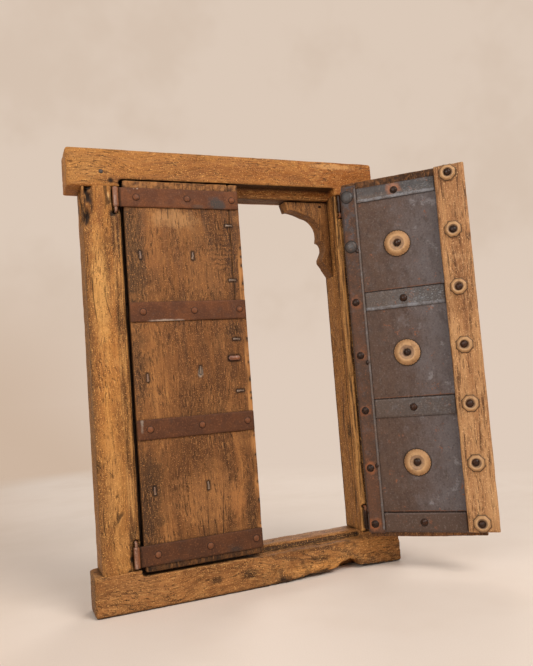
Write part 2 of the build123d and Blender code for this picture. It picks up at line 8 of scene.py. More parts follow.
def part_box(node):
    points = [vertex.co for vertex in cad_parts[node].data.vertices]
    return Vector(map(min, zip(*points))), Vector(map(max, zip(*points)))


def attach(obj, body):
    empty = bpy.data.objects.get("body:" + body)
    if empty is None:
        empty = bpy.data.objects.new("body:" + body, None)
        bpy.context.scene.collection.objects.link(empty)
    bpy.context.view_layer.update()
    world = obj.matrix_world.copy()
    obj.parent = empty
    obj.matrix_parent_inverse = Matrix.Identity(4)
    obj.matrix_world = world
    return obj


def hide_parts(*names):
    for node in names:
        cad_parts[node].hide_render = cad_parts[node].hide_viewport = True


# An old wooden window with two iron-clad shutters, dressed over its frame.
# Metres. X runs along the sill, Y from the inner side (front) to the outer side, Z up.

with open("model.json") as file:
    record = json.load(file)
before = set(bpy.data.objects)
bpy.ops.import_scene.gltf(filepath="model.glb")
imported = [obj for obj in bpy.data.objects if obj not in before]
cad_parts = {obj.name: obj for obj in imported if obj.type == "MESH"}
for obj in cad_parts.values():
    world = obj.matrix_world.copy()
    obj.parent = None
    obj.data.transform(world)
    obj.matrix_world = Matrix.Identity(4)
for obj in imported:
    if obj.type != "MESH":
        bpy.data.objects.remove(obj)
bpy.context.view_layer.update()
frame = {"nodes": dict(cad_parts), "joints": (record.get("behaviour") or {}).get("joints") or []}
nodes = frame["nodes"]
scene = bpy.context.scene
MM = 0.001
UP = Vector((0, 0, 1))

# The photograph's frame and the camera fitted to it
PHOTO_WIDTH, PHOTO_HEIGHT = 533, 666
FOCAL_PIXELS = 666.7
CAMERA_SPOT = Vector((-0.3192, -0.8937, 0.2714))
CAMERA_YAW, CAMERA_PITCH, CAMERA_ROLL = radians(22.1), radians(4.5), radians(-4.4)
HORIZON_PIXEL = 475           # row where the floor meets the backdrop
OPEN_ANGLE = 138              # the right shutter's angle in the photograph
FRONT_FACE = -0.026           # the frame's front plane
# Depths of faces along a shutter's t
HINGE_STRAP_FACE, FLAT_STRAP_FACE, BATTEN_FACE = -0.001, -0.002, 0.031
TOP_NAIL = (0.0845, 0.021, 0.5385)     # the s, t and z of a shutter's highest outer nail
OUTER_LEVELS = ("top", "upper", "lower", "bottom")


class Leaf:
    """A shutter's own directions: s from its pin to its free edge, t outwards, z up."""

    def __init__(self, name, side, angle):
        turn = radians(angle)
        joint = next(j for j in frame["joints"] if j["child"] == f"{name}_leaf")
        self.name = name
        self.body = f"{name}_leaf"
        self.along = Vector((-side * cos(turn), -sin(turn), 0))
        self.outward = Vector((-side * sin(turn), cos(turn), 0))
        self.pin = Vector((joint["pos_m"][0], joint["pos_m"][1], 0))

    def place(self, s, t, z):
        return self.pin + self.along * s + self.outward * t + Vector((0, 0, z))

    def face(self, t):
        """Turns a place across and up the shutter into a point at a depth t."""
        return lambda s, z: self.place(s, t, z)

    def span(self, points):
        """The lowest and highest s, t and z of some points."""
        rows = [((p - self.pin).dot(self.along), (p - self.pin).dot(self.outward), p.z) for p in points]
        return [(min(column), max(column)) for column in zip(*rows)]

    def node_span(self, node):
        return self.span([v.co for v in nodes[node].data.vertices])


left_leaf = Leaf("left", -1, 0)
right_leaf = Leaf("right", 1, OPEN_ANGLE)
leaves = (left_leaf, right_leaf)


def front_face(x, z):
    return x, FRONT_FACE, z


def islands(node):
    """The separate solids of a node, each as a list of its points."""
    work = bmesh.new()
    work.from_mesh(nodes[node].data)
    bmesh.ops.remove_doubles(work, verts=work.verts, dist=0.01 * MM)
    seen = set()
    groups = []
    for start in work.verts:
        if start in seen:
            continue
        seen.add(start)
        stack = [start]
        points = []
        while stack:
            vertex = stack.pop()
            points.append(vertex.co.copy())
            for edge in vertex.link_edges:
                other = edge.other_vert(vertex)
                if other not in seen:
                    seen.add(other)
                    stack.append(other)
        groups.append(points)
    work.free()
    return groups


def new_object(name, data):
    made = bpy.data.objects.new(name, data)
    scene.collection.objects.link(made)
    return made


def mesh_object(work, name, *materials):
    """Turns a working mesh into an object."""
    mesh = bpy.data.meshes.new(name)
    work.to_mesh(mesh)
    work.free()
    for material in materials:
        mesh.materials.append(material)
    return new_object(name, mesh)


def hand_in(piece, node, body):
    """The piece rides on its body and stands for its node."""
    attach(piece, body)
    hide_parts(node)


def finish_piece(work, node, ending, body, slot, *materials):
    """Turns a working mesh into a smooth piece."""
    bmesh.ops.recalc_face_normals(work, faces=work.faces)
    piece = mesh_object(work, f"{node}_{ending}", *materials)
    for polygon in piece.data.polygons:
        polygon.use_smooth = True
    hand_in(piece, node, body)


# Node helpers


def tone(colour):
    """Screen values from 0 to 255 as a node's colour. A colour with four values is one already."""
    if len(colour) == 4:
        return colour
    shares = [value / 255 for value in colour]
    return (*(v / 12.92 if v <= 0.04045 else ((v + 0.055) / 1.055) ** 2.4 for v in shares), 1)


def shade(colour, share):
    """A colour made darker or lighter."""
    return (*(share * value for value in tone(colour)[:3]), 1)


class Value:
    """What a node gives out, open to plain arithmetic."""

    def __init__(self, make, socket):
        self.make = make
        self.socket = socket

    def __add__(self, other):
        return self.make.math("ADD", self, other)

    def __sub__(self, other):
        return self.make.math("SUBTRACT", self, other)

    def __mul__(self, other):
        return self.make.math("MULTIPLY", self, other)

    def __abs__(self):
        return self.make.math("ABSOLUTE", self)

    def fade(self, start, end, low=0.0, high=1.0):
        """Carried smoothly from one range to another, and held past its ends."""
        return self.make.get("ShaderNodeMapRange", "Result", {
            "Value": self, "From Min": start, "From Max": end, "To Min": low, "To Max": high,
        }, interpolation_type="SMOOTHSTEP")

    def band(self, start, end, soft):
        """1 between two values, 0 past a soft margin outside them."""
        return self.fade(start - soft, start) * self.fade(end + soft, end)


class Tree:
    """A node tree under construction, with short calls for the nodes that it uses."""

    def __init__(self, owner, coordinates):
        owner.use_nodes = True
        self.tree = owner.node_tree
        self.point = self.get("ShaderNodeTexCoord", coordinates)
        axes = self.node("ShaderNodeSeparateXYZ", {"Vector": self.point}).outputs
        self.x, self.y, self.z = (Value(self, axis) for axis in axes)
        self.wander = None

    def feed(self, node, inputs):
        for key, value in inputs.items():
            if isinstance(value, Value):
                self.tree.links.new(value.socket, node.inputs[key])
            else:
                node.inputs[key].default_value = value

    def node(self, kind, inputs=None, **settings):
        made = self.tree.nodes.new(kind)
        for key, value in settings.items():
            setattr(made, key, value)
        self.feed(made, inputs or {})
        return made

    def get(self, kind, output, inputs=None, **settings):
        return Value(self, self.node(kind, inputs, **settings).outputs[output])

    def math(self, operation, first, second=0.0):
        return self.get("ShaderNodeMath", 0, {0: first, 1: second}, operation=operation)

    def vector(self, operation, first, second=(0, 0, 0), output=0):
        return self.get("ShaderNodeVectorMath", output, {0: first, 1: second}, operation=operation)

    def dot(self, first, second):
        return self.vector("DOT_PRODUCT", first, second, "Value")

    def stretched(self, scale):
        return self.get("ShaderNodeMapping", 0, {"Vector": self.point, "Scale": scale})

    def noise(self, scale, detail=3, roughness=0.55, distortion=0, at=None, move=None):
        """Noise at the object's own coordinates or at others, which can be moved."""
        place = at or self.point
        if move:
            place = self.get("ShaderNodeMapping", 0, {"Vector": place, "Location": move})
        return self.get("ShaderNodeTexNoise", "Fac", {
            "Vector": place, "Scale": scale, "Detail": detail, "Roughness": roughness,
            "Distortion": distortion,
        })

    def ramp(self, value, stops):
        made = self.node("ShaderNodeValToRGB", {"Fac": value})
        elements = made.color_ramp.elements
        while len(elements) < len(stops):
            elements.new(0.5)
        for element, (position, colour) in zip(elements, stops):
            element.position = position
            element.color = tone(colour)
        return Value(self, made.outputs["Color"])

    def mix(self, share, *colours):
        first, second = (c if isinstance(c, Value) else tone(c) for c in colours)
        return self.get("ShaderNodeMix", 2, {0: share, 6: first, 7: second}, data_type="RGBA")

    def tint(self, other, share):
        """Lays another colour over the colour so far."""
        self.colour = self.mix(share, self.colour, other)

    def spot(self, centre, reach, stretch=(1, 1, 1), soft=0.7):
        """A soft, ragged mask round a place, 1 at its middle. Each axis can be stretched."""
        scaled = self.vector("SUBTRACT", self.point, centre)
        scaled = self.vector("MULTIPLY", scaled, tuple(1 / share for share in stretch))
        if self.wander is None:
            self.wander = self.noise(90, 4, 0.65) - 0.5
        ragged = self.vector("LENGTH", scaled, output="Value") + self.wander * (reach * 1.6)
        return ragged.fade(reach, reach * (1 - soft))

    def patches(self, face, rows):
        """Ragged places of another colour. A row gives a place across and up the face, its reach,
        its stretch across and up, its colour and its share."""
        for across, up, reach, (wide, tall), other, share in rows:
            self.tint(other, self.spot(face(across, up), reach, (wide, 1, tall)) * share)

    def side_of(self, leaf):
        """How far a point lies from a shutter's pin towards its free edge."""
        return self.dot(self.vector("SUBTRACT", self.point, leaf.pin), leaf.along)

    def seen(self):
        """1 for what the camera sees straight, mirrored or through glass."""
        paths = self.node("ShaderNodeLightPath").outputs
        straight, mirrored, through = (
            Value(self, paths[kind]) for kind in ("Is Camera Ray", "Is Glossy Ray", "Is Transmission Ray")
        )
        return self.math("MAXIMUM", self.math("MAXIMUM", straight, mirrored), through)

    def show(self, output, share, first, second):
        """Sends a mix of two nodes' surfaces to the output node."""
        first, second = Value(self, first.outputs[0]), Value(self, second.outputs[0])
        blend = self.get("ShaderNodeMixShader", 0, {0: share, 1: first, 2: second})
        self.feed(self.tree.nodes[output], {"Surface": blend})


class Shader(Tree):
    """A material under construction."""

    def __init__(self, name, roughness, specular, metallic=0.0):
        self.material = bpy.data.materials.new(name)
        super().__init__(self.material, "Object")
        self.principled = self.tree.nodes["Principled BSDF"]
        look = {"Roughness": roughness, "Metallic": metallic, "Specular IOR Level": specular}
        self.feed(self.principled, look)

    def painted(self, name):
        return self.get("ShaderNodeAttribute", "Fac", attribute_name=name)

    def edges(self):
        return self.get("ShaderNodeNewGeometry", "Pointiness")

    # Ambient occlusion, used to paint shade into the colour in crevices
    def occlusion_shade(self, distance):
        return self.get("ShaderNodeAmbientOcclusion", "AO", {"Distance": distance}, samples=6)

    def finish(self, height, rough, strength, distance):
        bump = self.get("ShaderNodeBump", "Normal", {
            "Strength": strength, "Distance": distance, "Height": height,
        })
        self.feed(self.principled, {"Base Color": self.colour, "Roughness": rough, "Normal": bump})
        return self.material


BLACK = (24, 15, 9)
# The backdrop's left colour is darker: painted shade
BACKDROP_HIGH, BACKDROP_LEFT, BACKDROP_RIGHT = (220, 201, 184), (205, 181, 160), (223, 204, 188)
SIDEWAYS = (-0.42, -0.08)     # where across the view the backdrop turns from its left colour to its right
# For each grain direction: the stretch of its long figure and of its short dashes, and its side sway
GRAINS = {
    "X": ((0.06, 1, 1), (0.14, 1, 1), (0, 1, 1)),
    "Z": ((1, 1, 0.06), (1, 1, 0.14), (1, 1, 0)),
}


def wood(name, grain, colours, streak, pits, pale_share, marks=None, sway=0.04, grit=1.0):
    """Old bare wood: figure and fibres along the grain, worm pits, cracks and rubbed places. The four
    colours run from its darkest figure to its palest."""
    dark, middle, light, pale = colours
    make = Shader(name, 0.62, 0.2)
    long_scale, short_scale, sideways = GRAINS[grain]
    wander = make.get("ShaderNodeTexNoise", "Color", {"Vector": make.point, "Scale": 9, "Detail": 1})
    swirl = make.vector("MULTIPLY", wander, tuple(sway * share for share in sideways))
    bent = make.vector("ADD", make.stretched(long_scale), swirl)
    short = make.vector("ADD", make.stretched(short_scale), swirl)
    figure = make.noise(110, 4, 0.65, 0.35, bent)
    level = make.noise(22, 3, 0.55, 0.5, bent) * 0.6 + figure * 0.4
    make.colour = make.ramp(level, [(0.35, dark), (0.46, middle), (0.57, light), (0.7, pale)])
    make.tint(pale, make.noise(24, 4, 0.6).fade(0.52, 0.7, 0, pale_share))
    make.tint(dark, make.noise(8, 2).fade(0.5, 0.68, 0, 0.5))
    if marks:
        marks(make)
    streaks = make.noise(230, 3, 0.65, at=bent, move=(3, 1, 2))
    make.tint(shade(dark, 0.55), streaks.fade(0.54, 0.66) * streak)
    rougher = make.noise(32, 3, move=(6, 6, 1)).fade(0.4, 0.6, 0.3, 1)
    dashes = make.noise(600, 3, 0.6, at=short)
    make.tint(shade(dark, 0.36), dashes.fade(0.49, 0.37, 0, 0.85 * grit) * rougher)
    glints = make.noise(720, 3, 0.6, at=short, move=(4, 7, 2))
    make.tint(pale, glints.fade(0.54, 0.66, 0, 0.6 * grit) * rougher)
    grains = make.noise(620, 2, 0.7)
    make.tint(shade(pale, 1.3), grains.fade(0.58, 0.68, 0, 0.85 * grit))
    holes = make.get("ShaderNodeTexVoronoi", "Distance", {"Vector": make.point, "Scale": 310})
    pit = holes.fade(0.24, 0.14) * make.noise(50, 2).fade(0.42, 0.56)
    make.tint(BLACK, pit * pits)
    centred = make.noise(45, 1, 0.4, at=bent, move=(7, 5, 1)) - 0.5
    crack = abs(centred).fade(0.012, 0.004) * make.noise(16, 2, move=(2, 9, 4)).fade(0.54, 0.62)
    make.tint(BLACK, crack * 0.7)
    make.tint(shade(pale, 1.15), make.painted("bare"))
    # Dark paint from the shapes: rot, dark joints and notches, and painted shade in sockets, under the rebate
    # and the bracket, and round nail points
    make.tint(BLACK, make.painted("rot"))
    edge = make.edges()
    make.tint(pale, edge.fade(0.52, 0.6, 0, 0.4))
    # Painted shade in concave creases
    make.tint(BLACK, edge.fade(0.485, 0.42, 0, 0.65))
    # Painted shade in corners and recesses, from the occlusion
    make.tint(BLACK, make.occlusion_shade(9 * MM).fade(0.8, 0.25, 0, 0.85))
    height = dashes * 0.8 + figure * 0.8 + grains * 0.35 - pit * 0.8 - crack
    return make.finish(height, figure.fade(0.3, 0.7, 0.52, 0.74), 0.7, 1.4 * MM)


def iron(name, body, rust, grey, dust, gloss, specular, blotches, dull, marks=None, specks=0.4):
    """Old iron: a dark skin with blotches and specks of rust, and rubbed grey places."""
    make = Shader(name, gloss, specular)
    make.blotch = make.noise(34, 5, 0.65, 0.3)
    make.patch = make.noise(105, 4, 0.7, move=(1, 4, 2))
    speck = make.noise(430, 3, 0.7)
    make.colour = make.mix(make.blotch.fade(0.42, 0.62, 0, blotches), body, rust)
    make.tint(grey, make.patch.fade(0.54, 0.7, 0, dull))
    if marks:
        marks(make)
    make.tint(dust, speck.fade(0.55, 0.68, 0, specks))
    make.tint(shade(body, 0.42), speck.fade(0.45, 0.32, 0, 0.5))
    make.tint(grey, make.edges().fade(0.53, 0.64, 0, 0.35))
    # Painted shade in crevices, from the occlusion
    make.tint((22, 14, 10), make.occlusion_shade(3.5 * MM).fade(0.8, 0.25, 0, 0.85))
    # Painted shadow ring round each forged head
    make.tint((30, 19, 12), make.painted("head_shadow"))
    rough = make.patch.fade(0.35, 0.7, gloss + 0.1, gloss - 0.08)
    return make.finish(make.patch + speck * 0.4, rough, 0.5, 0.9 * MM)


def aged_brass(name):
    """Thin hammered brass gone dull: tan, browner towards the rim, with painted shadow round its nail and in
    its corners and a painted highlight on its crest.
    """
    make = Shader(name, 0.45, 0.25, metallic=0.1)
    blotch = make.noise(120, 3, 0.6)
    speck = make.noise(700, 2, 0.7)
    # Colour by distance from the middle: painted shadow in the hollow round the nail, a painted highlight on
    # the crest, browner towards the rim
    make.colour = make.ramp(make.painted("away") + (blotch - 0.5) * 0.06, [
        (0.2, (44, 30, 20)), (0.26, (122, 98, 80)), (0.38, (158, 126, 100)), (0.48, (142, 112, 86)),
        (0.56, (192, 152, 110)), (0.66, (176, 136, 94)), (0.86, (158, 118, 80)),
    ])
    make.tint((190, 150, 106), blotch.fade(0.45, 0.68, 0, 0.55))
    make.tint((112, 80, 52), blotch.fade(0.45, 0.3, 0, 0.45))
    make.tint((84, 58, 34), speck.fade(0.56, 0.7, 0, 0.35))
    # Painted shadow in the rim ring and along the foot
    make.tint((30, 20, 12), make.painted("rim"))
    # Painted shade in corners, from the occlusion
    make.tint((26, 18, 12), make.occlusion_shade(3 * MM).fade(0.85, 0.3, 0, 0.9))
    return make.finish(blotch * 0.8 + speck * 0.25, blotch.fade(0.3, 0.7, 0.44, 0.6), 0.4, 0.6 * MM)


# Marks on the wood


def lintel_marks(make):
    """Yellower at the left end, redder at the right, browner on the stop behind the rebate."""
    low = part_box("lintel")[0].z
    stop = make.z.band(low, low + 0.0125, MM) * make.y.band(-0.0085, 0.04, MM)
    make.tint((112, 74, 42), stop * make.x.band(-0.16, 0.16, MM) * 0.45)
    make.patches(front_face, [
        (-0.205, 0.574, 0.045, (1, 0.7), (196, 146, 84), 0.35),
        (-0.15, 0.58, 0.1, (1, 0.4), (150, 96, 48), 0.3),
        (0.2, 0.58, 0.12, (1, 0.7), (138, 76, 20), 0.85),
        (0.05, 0.575, 0.14, (1, 0.35), (136, 80, 36), 0.5),
        (0.16, 0.592, 0.02, (2.2, 0.3), (212, 160, 100), 0.6),
        (-0.13, 0.556, 0.06, (1.6, 0.12), (96, 56, 28), 0.6),
    ])


def splintered(make, zone):
    """Long thin bright and dark splinters inside a zone."""
    lines = make.noise(520, 3, 0.6, at=make.stretched((1, 1, 0.05)))
    make.tint((62, 38, 20), zone * lines.fade(0.48, 0.38, 0, 0.7))
    make.tint((214, 156, 92), zone * lines.fade(0.55, 0.66, 0, 0.6))


def left_stile_marks(make):
    """Long dark curved streaks, a greyed outer edge and a splintered inner edge."""
    strip = make.x.band(-0.1735, -0.15, 1.5 * MM)
    make.tint((96, 58, 30), strip * 0.5)
    splintered(make, strip)
    make.tint((104, 72, 42), make.x.fade(-0.2, -0.209, 0, 0.5))
    make.tint((112, 74, 42), make.z.fade(0.34, 0.1, 0, 0.34))
    make.patches(front_face, [
        (-0.1757, 0.5345, 0.0045, (0.6, 1.6), (240, 190, 126), 0.85),
        (-0.183, 0.45, 0.05, (0.16, 1.3), (92, 56, 28), 0.7),
        (-0.165, 0.33, 0.06, (0.12, 1.3), (92, 56, 28), 0.6),
        (-0.178, 0.235, 0.04, (0.2, 1.4), (104, 64, 32), 0.55),
        (-0.214, 0.3, 0.14, (0.05, 1.6), (92, 74, 54), 0.75),
        (-0.211, 0.185, 0.012, (0.6, 1), BLACK, 0.8),
        (-0.172, 0.49, 0.05, (0.12, 1.1), (92, 56, 28), 0.6),
        (-0.196, 0.13, 0.07, (0.12, 1.2), (110, 68, 34), 0.5),
        (-0.193, 0.41, 0.09, (0.16, 1.2), (222, 168, 98), 0.5),
        (-0.19, 0.16, 0.08, (0.16, 1.2), (206, 150, 86), 0.4),
    ])


def sill_marks(make):
    """Dark knots, curved dark figure on the right, darker ends, and painted shade along the rebate's inner
    corner.
    """
    # Painted shade along the rebate's inner corner
    inside = make.y.band(-0.0115, -0.0045, 1.5 * MM) * make.z.band(0.04, 0.0475, MM)
    make.tint((44, 28, 16), inside * 0.85)
    ledge = make.y.band(-0.0235, -0.006, MM) * make.z.band(0.0415, 0.0445, MM)
    make.tint((70, 44, 26), ledge * 0.3)
    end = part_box("sill")[1].x
    make.tint((82, 52, 26), abs(make.x).fade(end - 2.2 * MM, end - 0.8 * MM, 0, 0.7))
    curved = make.get("ShaderNodeTexWave", "Fac", {
        "Vector": make.stretched((1, 1, 2.2)), "Scale": 16, "Distortion": 9, "Detail": 3, "Detail Scale": 1.4,
    }, bands_direction="DIAGONAL")
    zone = make.x.fade(-0.03, 0.03) * make.y.fade(-0.02, -0.024)
    make.tint((72, 46, 26), curved.fade(0.42, 0.15, 0, 0.6) * zone)
    make.patches(front_face, [
        (-0.018, 0.021, 0.012, (1.3, 0.8), (40, 24, 12), 0.85),
        (-0.065, 0.022, 0.008, (1.4, 0.8), (52, 32, 16), 0.8),
        (0.1, 0.012, 0.05, (1.4, 0.25), (206, 142, 74), 0.6),
        (0.18, 0.03, 0.05, (1, 0.4), (190, 128, 66), 0.55),
        (-0.16, 0.03, 0.06, (1, 0.4), (178, 124, 74), 0.35),
    ])


def right_stile_marks(make):
    """A smooth brown reveal with a star of cracks; a lit ridge and a dark crack on the front."""
    reveal = make.x.band(0.15, 0.1612, MM) * make.y.band(-0.021, 0.04, 2 * MM)
    front = make.y.band(-0.04, -0.0215, 1.5 * MM)
    make.tint((122, 80, 42), reveal * 0.6)
    splintered(make, front * make.x.band(0.1665, 0.176, MM))
    make.tint((58, 36, 18), reveal * make.y.band(0.0225, 0.04, 1.5 * MM) * 0.75)
    make.tint((206, 152, 92), front * make.x.band(0.1605, 0.1655, 0.8 * MM) * 0.6)
    make.tint((30, 18, 10), front * make.x.band(0.1672, 0.1695, 0.8 * MM) * 0.9)
    make.tint((34, 20, 11), make.spot((0.16, -0.009, 0.195), 0.014, (1, 0.5, 1.1)) * 0.9)


def left_board_marks(make):
    """Greyer at the hinge side, pale slanting scratches, and a fiddleback ripple by the joint."""
    make.patches(left_leaf.face(0), [
        (0.018, 0.46, 0.07, (0.34, 1.6), (64, 48, 33), 0.75),
        (0.016, 0.31, 0.05, (0.4, 1.4), (66, 46, 30), 0.6),
        (0.02, 0.14, 0.09, (0.28, 1.2), (56, 39, 25), 0.75),
        (0.158, 0.11, 0.05, (0.25, 1.2), (52, 34, 20), 0.7),
        (0.15, 0.35, 0.028, (0.9, 0.5), (62, 42, 27), 0.6),
        (0.145, 0.53, 0.03, (1, 0.6), (62, 40, 24), 0.6),
        (0.078, 0.507, 0.03, (1.4, 0.7), (188, 142, 94), 0.55),
        (0.115, 0.435, 0.045, (1, 1.2), (160, 108, 62), 0.45),
        (0.1, 0.13, 0.06, (1.2, 0.8), (164, 112, 66), 0.45),
        (0.1, 0.297, 0.009, (0.5, 1.2), (196, 186, 170), 0.75),
        (0.139, 0.121, 0.03, (0.6, 1), (170, 112, 62), 0.5),
    ])
    bands = make.get("ShaderNodeTexWave", "Fac", {
        "Vector": make.point, "Scale": 44, "Distortion": 5, "Detail": 2, "Detail Scale": 3,
    }, bands_direction="Z")
    zone = make.spot(left_leaf.place(0.145, 0, 0.465), 0.042, (0.8, 1, 1.2), 0.8)
    make.tint((58, 36, 20), bands.fade(0.6, 0.25) * zone * 0.7)


def batten_marks(make):
    """A knot, a dark place at the top and a thin groove beside the free edge lower down."""
    groove = make.side_of(right_leaf).band(0.1884, 0.189, 0.8 * MM)
    make.tint((60, 38, 22), groove * make.z.fade(0.37, 0.33, 0.15, 0.7))
    make.patches(right_leaf.face(BATTEN_FACE), [
        (0.182, 0.4526, 0.006, (1, 1.3), (70, 40, 22), 0.85),
        (0.156, 0.562, 0.014, (1, 0.5), (34, 22, 14), 0.8),
    ])


STILE_COLOURS = ((120, 73, 33), (157, 101, 49), (184, 125, 62), (212, 156, 89))
# The grain, the four colours, then streaks, pits, rubbed places, marks, sway and grit
woods = {name: wood(f"{name}_wood", *look) for name, *look in (
    ("lintel", "X", ((114, 69, 31), (149, 95, 45), (177, 119, 58), (208, 152, 86)),
     0.3, 0.8, 0.38, lintel_marks),
    ("left_stile", "Z", STILE_COLOURS, 0.35, 0.6, 0.35, left_stile_marks),
    ("right_stile", "Z", STILE_COLOURS, 0.3, 0.6, 0.3, right_stile_marks),
    ("sill", "X", ((108, 66, 31), (144, 94, 50), (166, 112, 61), (198, 146, 86)),
     0.4, 0.8, 0.35, sill_marks),
    # Its colours are darker than the stiles': painted shade under the lintel
    ("bracket", "Z", ((78, 46, 21), (108, 68, 33), (132, 86, 45), (176, 124, 71)),
     0.35, 1, 0.25, None, 0.02),
    ("left_board", "Z", ((76, 47, 24), (107, 67, 35), (132, 85, 45), (172, 119, 68)),
     0.4, 0.45, 0.3, left_board_marks, 0.02, 0.95),
    ("right_board", "Z", ((66, 41, 22), (92, 58, 32), (114, 73, 41), (156, 108, 64)),
     0.6, 0.5, 0.3, None, 0.02),
    ("batten", "Z", ((126, 82, 49), (162, 114, 73), (182, 135, 90), (208, 166, 119)),
     0.95, 0.3, 0.35, batten_marks, 0.006, 0.85),
)}


# Marks on the iron


outer_strap_spans = [right_leaf.node_span(f"right_outer_{level}_strap")[2] for level in OUTER_LEVELS]
UPRIGHT_EDGE = 0.035          # the nails nearer to the pin than this are the upright strap's
upright_nail_places = [
    sum(points, Vector()) / len(points)
    for leaf in leaves
    for points in islands(f"{leaf.name}_outer_nails")
    if leaf.span(points)[0][1] < UPRIGHT_EDGE
]


def inner_strap_marks(make):
    """Darker lower down, a painted shadow beside the barrel; a slate patch and pale scraped places."""
    make.tint((40, 26, 18), make.z.fade(0.56, 0.05, 0, 0.42))
    root = left_leaf.pin.x + 3.4 * MM
    # Painted shadow where the strap runs out from behind the barrel
    make.tint((48, 28, 13), make.x.band(root, root + 2.8 * MM, 1.4 * MM) * 0.75)
    make.patches(left_leaf.face(HINGE_STRAP_FACE), [
        (0.14, 0.527, 0.013, (1.3, 1), (62, 60, 58), 0.85),
        (0.11, 0.523, 0.009, (1.5, 0.7), (72, 62, 54), 0.6),
        (0.13, 0.057, 0.014, (1.3, 0.7), (54, 46, 40), 0.7),
        (0.048, 0.051, 0.016, (1.3, 0.5), (50, 42, 36), 0.7),
    ])
    make.patches(left_leaf.face(FLAT_STRAP_FACE), [
        (0.06, 0.3675, 0.03, (1, 0.085), (176, 158, 142), 0.8),
        (0.146, 0.2105, 0.016, (1, 0.12), (168, 148, 130), 0.7),
        (0.0165, 0.235, 0.01, (0.3, 1.2), (150, 134, 120), 0.7),
        (0.0244, 0.5455, 0.0016, (1, 1), (186, 168, 150), 0.8),
        (0.029, 0.546, 0.0016, (1, 1), (186, 168, 150), 0.8),
    ])


def sheet_marks(leaf):
    """Marks that turn an outer face from redder at its hinge side to bluer at its free side, with painted
    highlights on the bluer side, painted shadow along the batten's edge and above each strap.
    """
    def mark(make):
        side = make.side_of(leaf)
        blue = (side + (make.blotch - 0.5) * 0.12).fade(0.05, 0.15)
        make.tint((99, 93, 94), blue * 0.9)
        hammered = make.noise(120, 4, 0.7, at=make.stretched((1, 1, 0.45)))
        make.tint((58, 46, 42), hammered.fade(0.5, 0.36, 0, 0.35))
        # Painted highlights on the bluer side
        make.tint((142, 138, 140), make.noise(48, 4, 0.75, move=(5, 5, 5)).fade(0.55, 0.68, 0, 0.7) * blue)
        # Painted shadow near the free side, along the batten's edge
        make.tint((48, 42, 40), side.fade(0.152, 0.158, 0, 0.6))
        rusted = make.noise(55, 4, 0.75, move=(9, 2, 6)).fade(0.58, 0.68)
        make.tint((134, 84, 58), rusted * make.noise(300, 3, 0.7).fade(0.48, 0.6))
        for low, high in outer_strap_spans[1:]:
            rust = make.z.band(high, high + 2.6 * MM, 0.8 * MM) * make.patch.fade(0.35, 0.55)
            make.tint((116, 72, 46), rust * 0.75)
            # Painted shadow along each strap's upper edge
            make.tint((26, 18, 13), make.z.band(high - MM, high + 1.7 * MM, 0.4 * MM) * 0.9)
    return mark


def orange_specks(make):
    """Small groups of bright rust specks."""
    rusted = make.noise(70, 4, 0.75, move=(9, 2, 6)).fade(0.54, 0.66)
    make.tint((140, 84, 54), rusted * make.noise(300, 3, 0.7).fade(0.52, 0.64) * 0.75)


def upright_strap_marks(make):
    """Slate towards the top, redder lower down, with a rusty ring round each nail."""
    make.tint((66, 66, 70), make.z.fade(0.4, 0.53, 0.1, 0.75) * make.patch.fade(0.45, 0.6))
    make.tint((96, 62, 42), make.z.fade(0.2, 0.06, 0, 0.5))
    for middle in upright_nail_places:
        make.tint((148, 88, 52), make.spot(middle, 0.0115) * (0.85 if middle.z < 0.2 else 0.55))
    orange_specks(make)


def outer_strap_marks(make):
    """Rustier at the hinge side and low down, painted highlight streaks and painted highlights along lower
    edges, a halo round the top nail.
    """
    side = make.side_of(right_leaf) + (make.blotch - 0.5) * 0.16
    make.tint((82, 64, 51), side.fade(0.1, 0.045, 0, 0.65))
    # Pale streaks along the straps: painted highlights
    highlight_streaks = make.noise(260, 4, 0.75, at=make.stretched((1, 1, 3))).fade(0.52, 0.66, 0, 0.75)
    make.tint((146, 148, 154), side.fade(0.07, 0.13, 0.25, 1) * highlight_streaks * make.z.fade(0.1, 0.35))
    top, second = (low for low, high in outer_strap_spans[:2])
    top_strap = make.z.band(top + 12 * MM, top + 40 * MM, 6 * MM)
    make.tint((50, 48, 50), top_strap * side.fade(0.15, 0.07, 0.2, 0.65))
    for low in (top, second):
        # Painted highlights along the lower edges of the top two straps
        lower = make.z.band(low - MM, low + 3.5 * MM, 2 * MM)
        make.tint((128, 129, 134), lower * make.patch.fade(0.4, 0.6, 0.2, 0.8))
    make.tint((77, 55, 42), make.z.fade(0.3, 0.08, 0, 0.85))
    for leaf, share in ((right_leaf, 0.9), (left_leaf, 0.7)):
        make.tint((150, 94, 60), make.spot(leaf.place(*TOP_NAIL), 0.0125) * share)
    orange_specks(make)


def left_barrel_marks(make):
    """A painted highlight stripe down the outer half of a barrel, bright rust down its inner half."""
    side = make.x - left_leaf.pin.x
    # Painted highlight stripe
    grey = side.band(-2.4 * MM, -0.8 * MM, 1.2 * MM) * make.patch.fade(0.4, 0.54, 0.1, 0.85)
    make.tint((156, 122, 104), grey)
    make.tint((136, 78, 38), side.fade(0.0006, 0.0024, 0, 0.7))


def clench_marks(make):
    """Darker nail points near the left shutter's free edge and top, rusty ones beside its hinges."""
    side = make.x - left_leaf.pin.x
    make.tint((74, 50, 36), side.fade(0.12, 0.13, 0, 0.75) * side.fade(0.19, 0.18))
    make.tint((92, 62, 40), side.fade(0.11, 0.1, 0, 0.8) * make.z.fade(0.44, 0.45))
    make.tint((102, 64, 42), side.fade(0.055, 0.045, 0, 0.75))


SHEET_LOOK = ((82, 63, 53), (91, 69, 55), (95, 85, 80), (124, 110, 102), 0.55, 0.22, 0.5, 0.35)
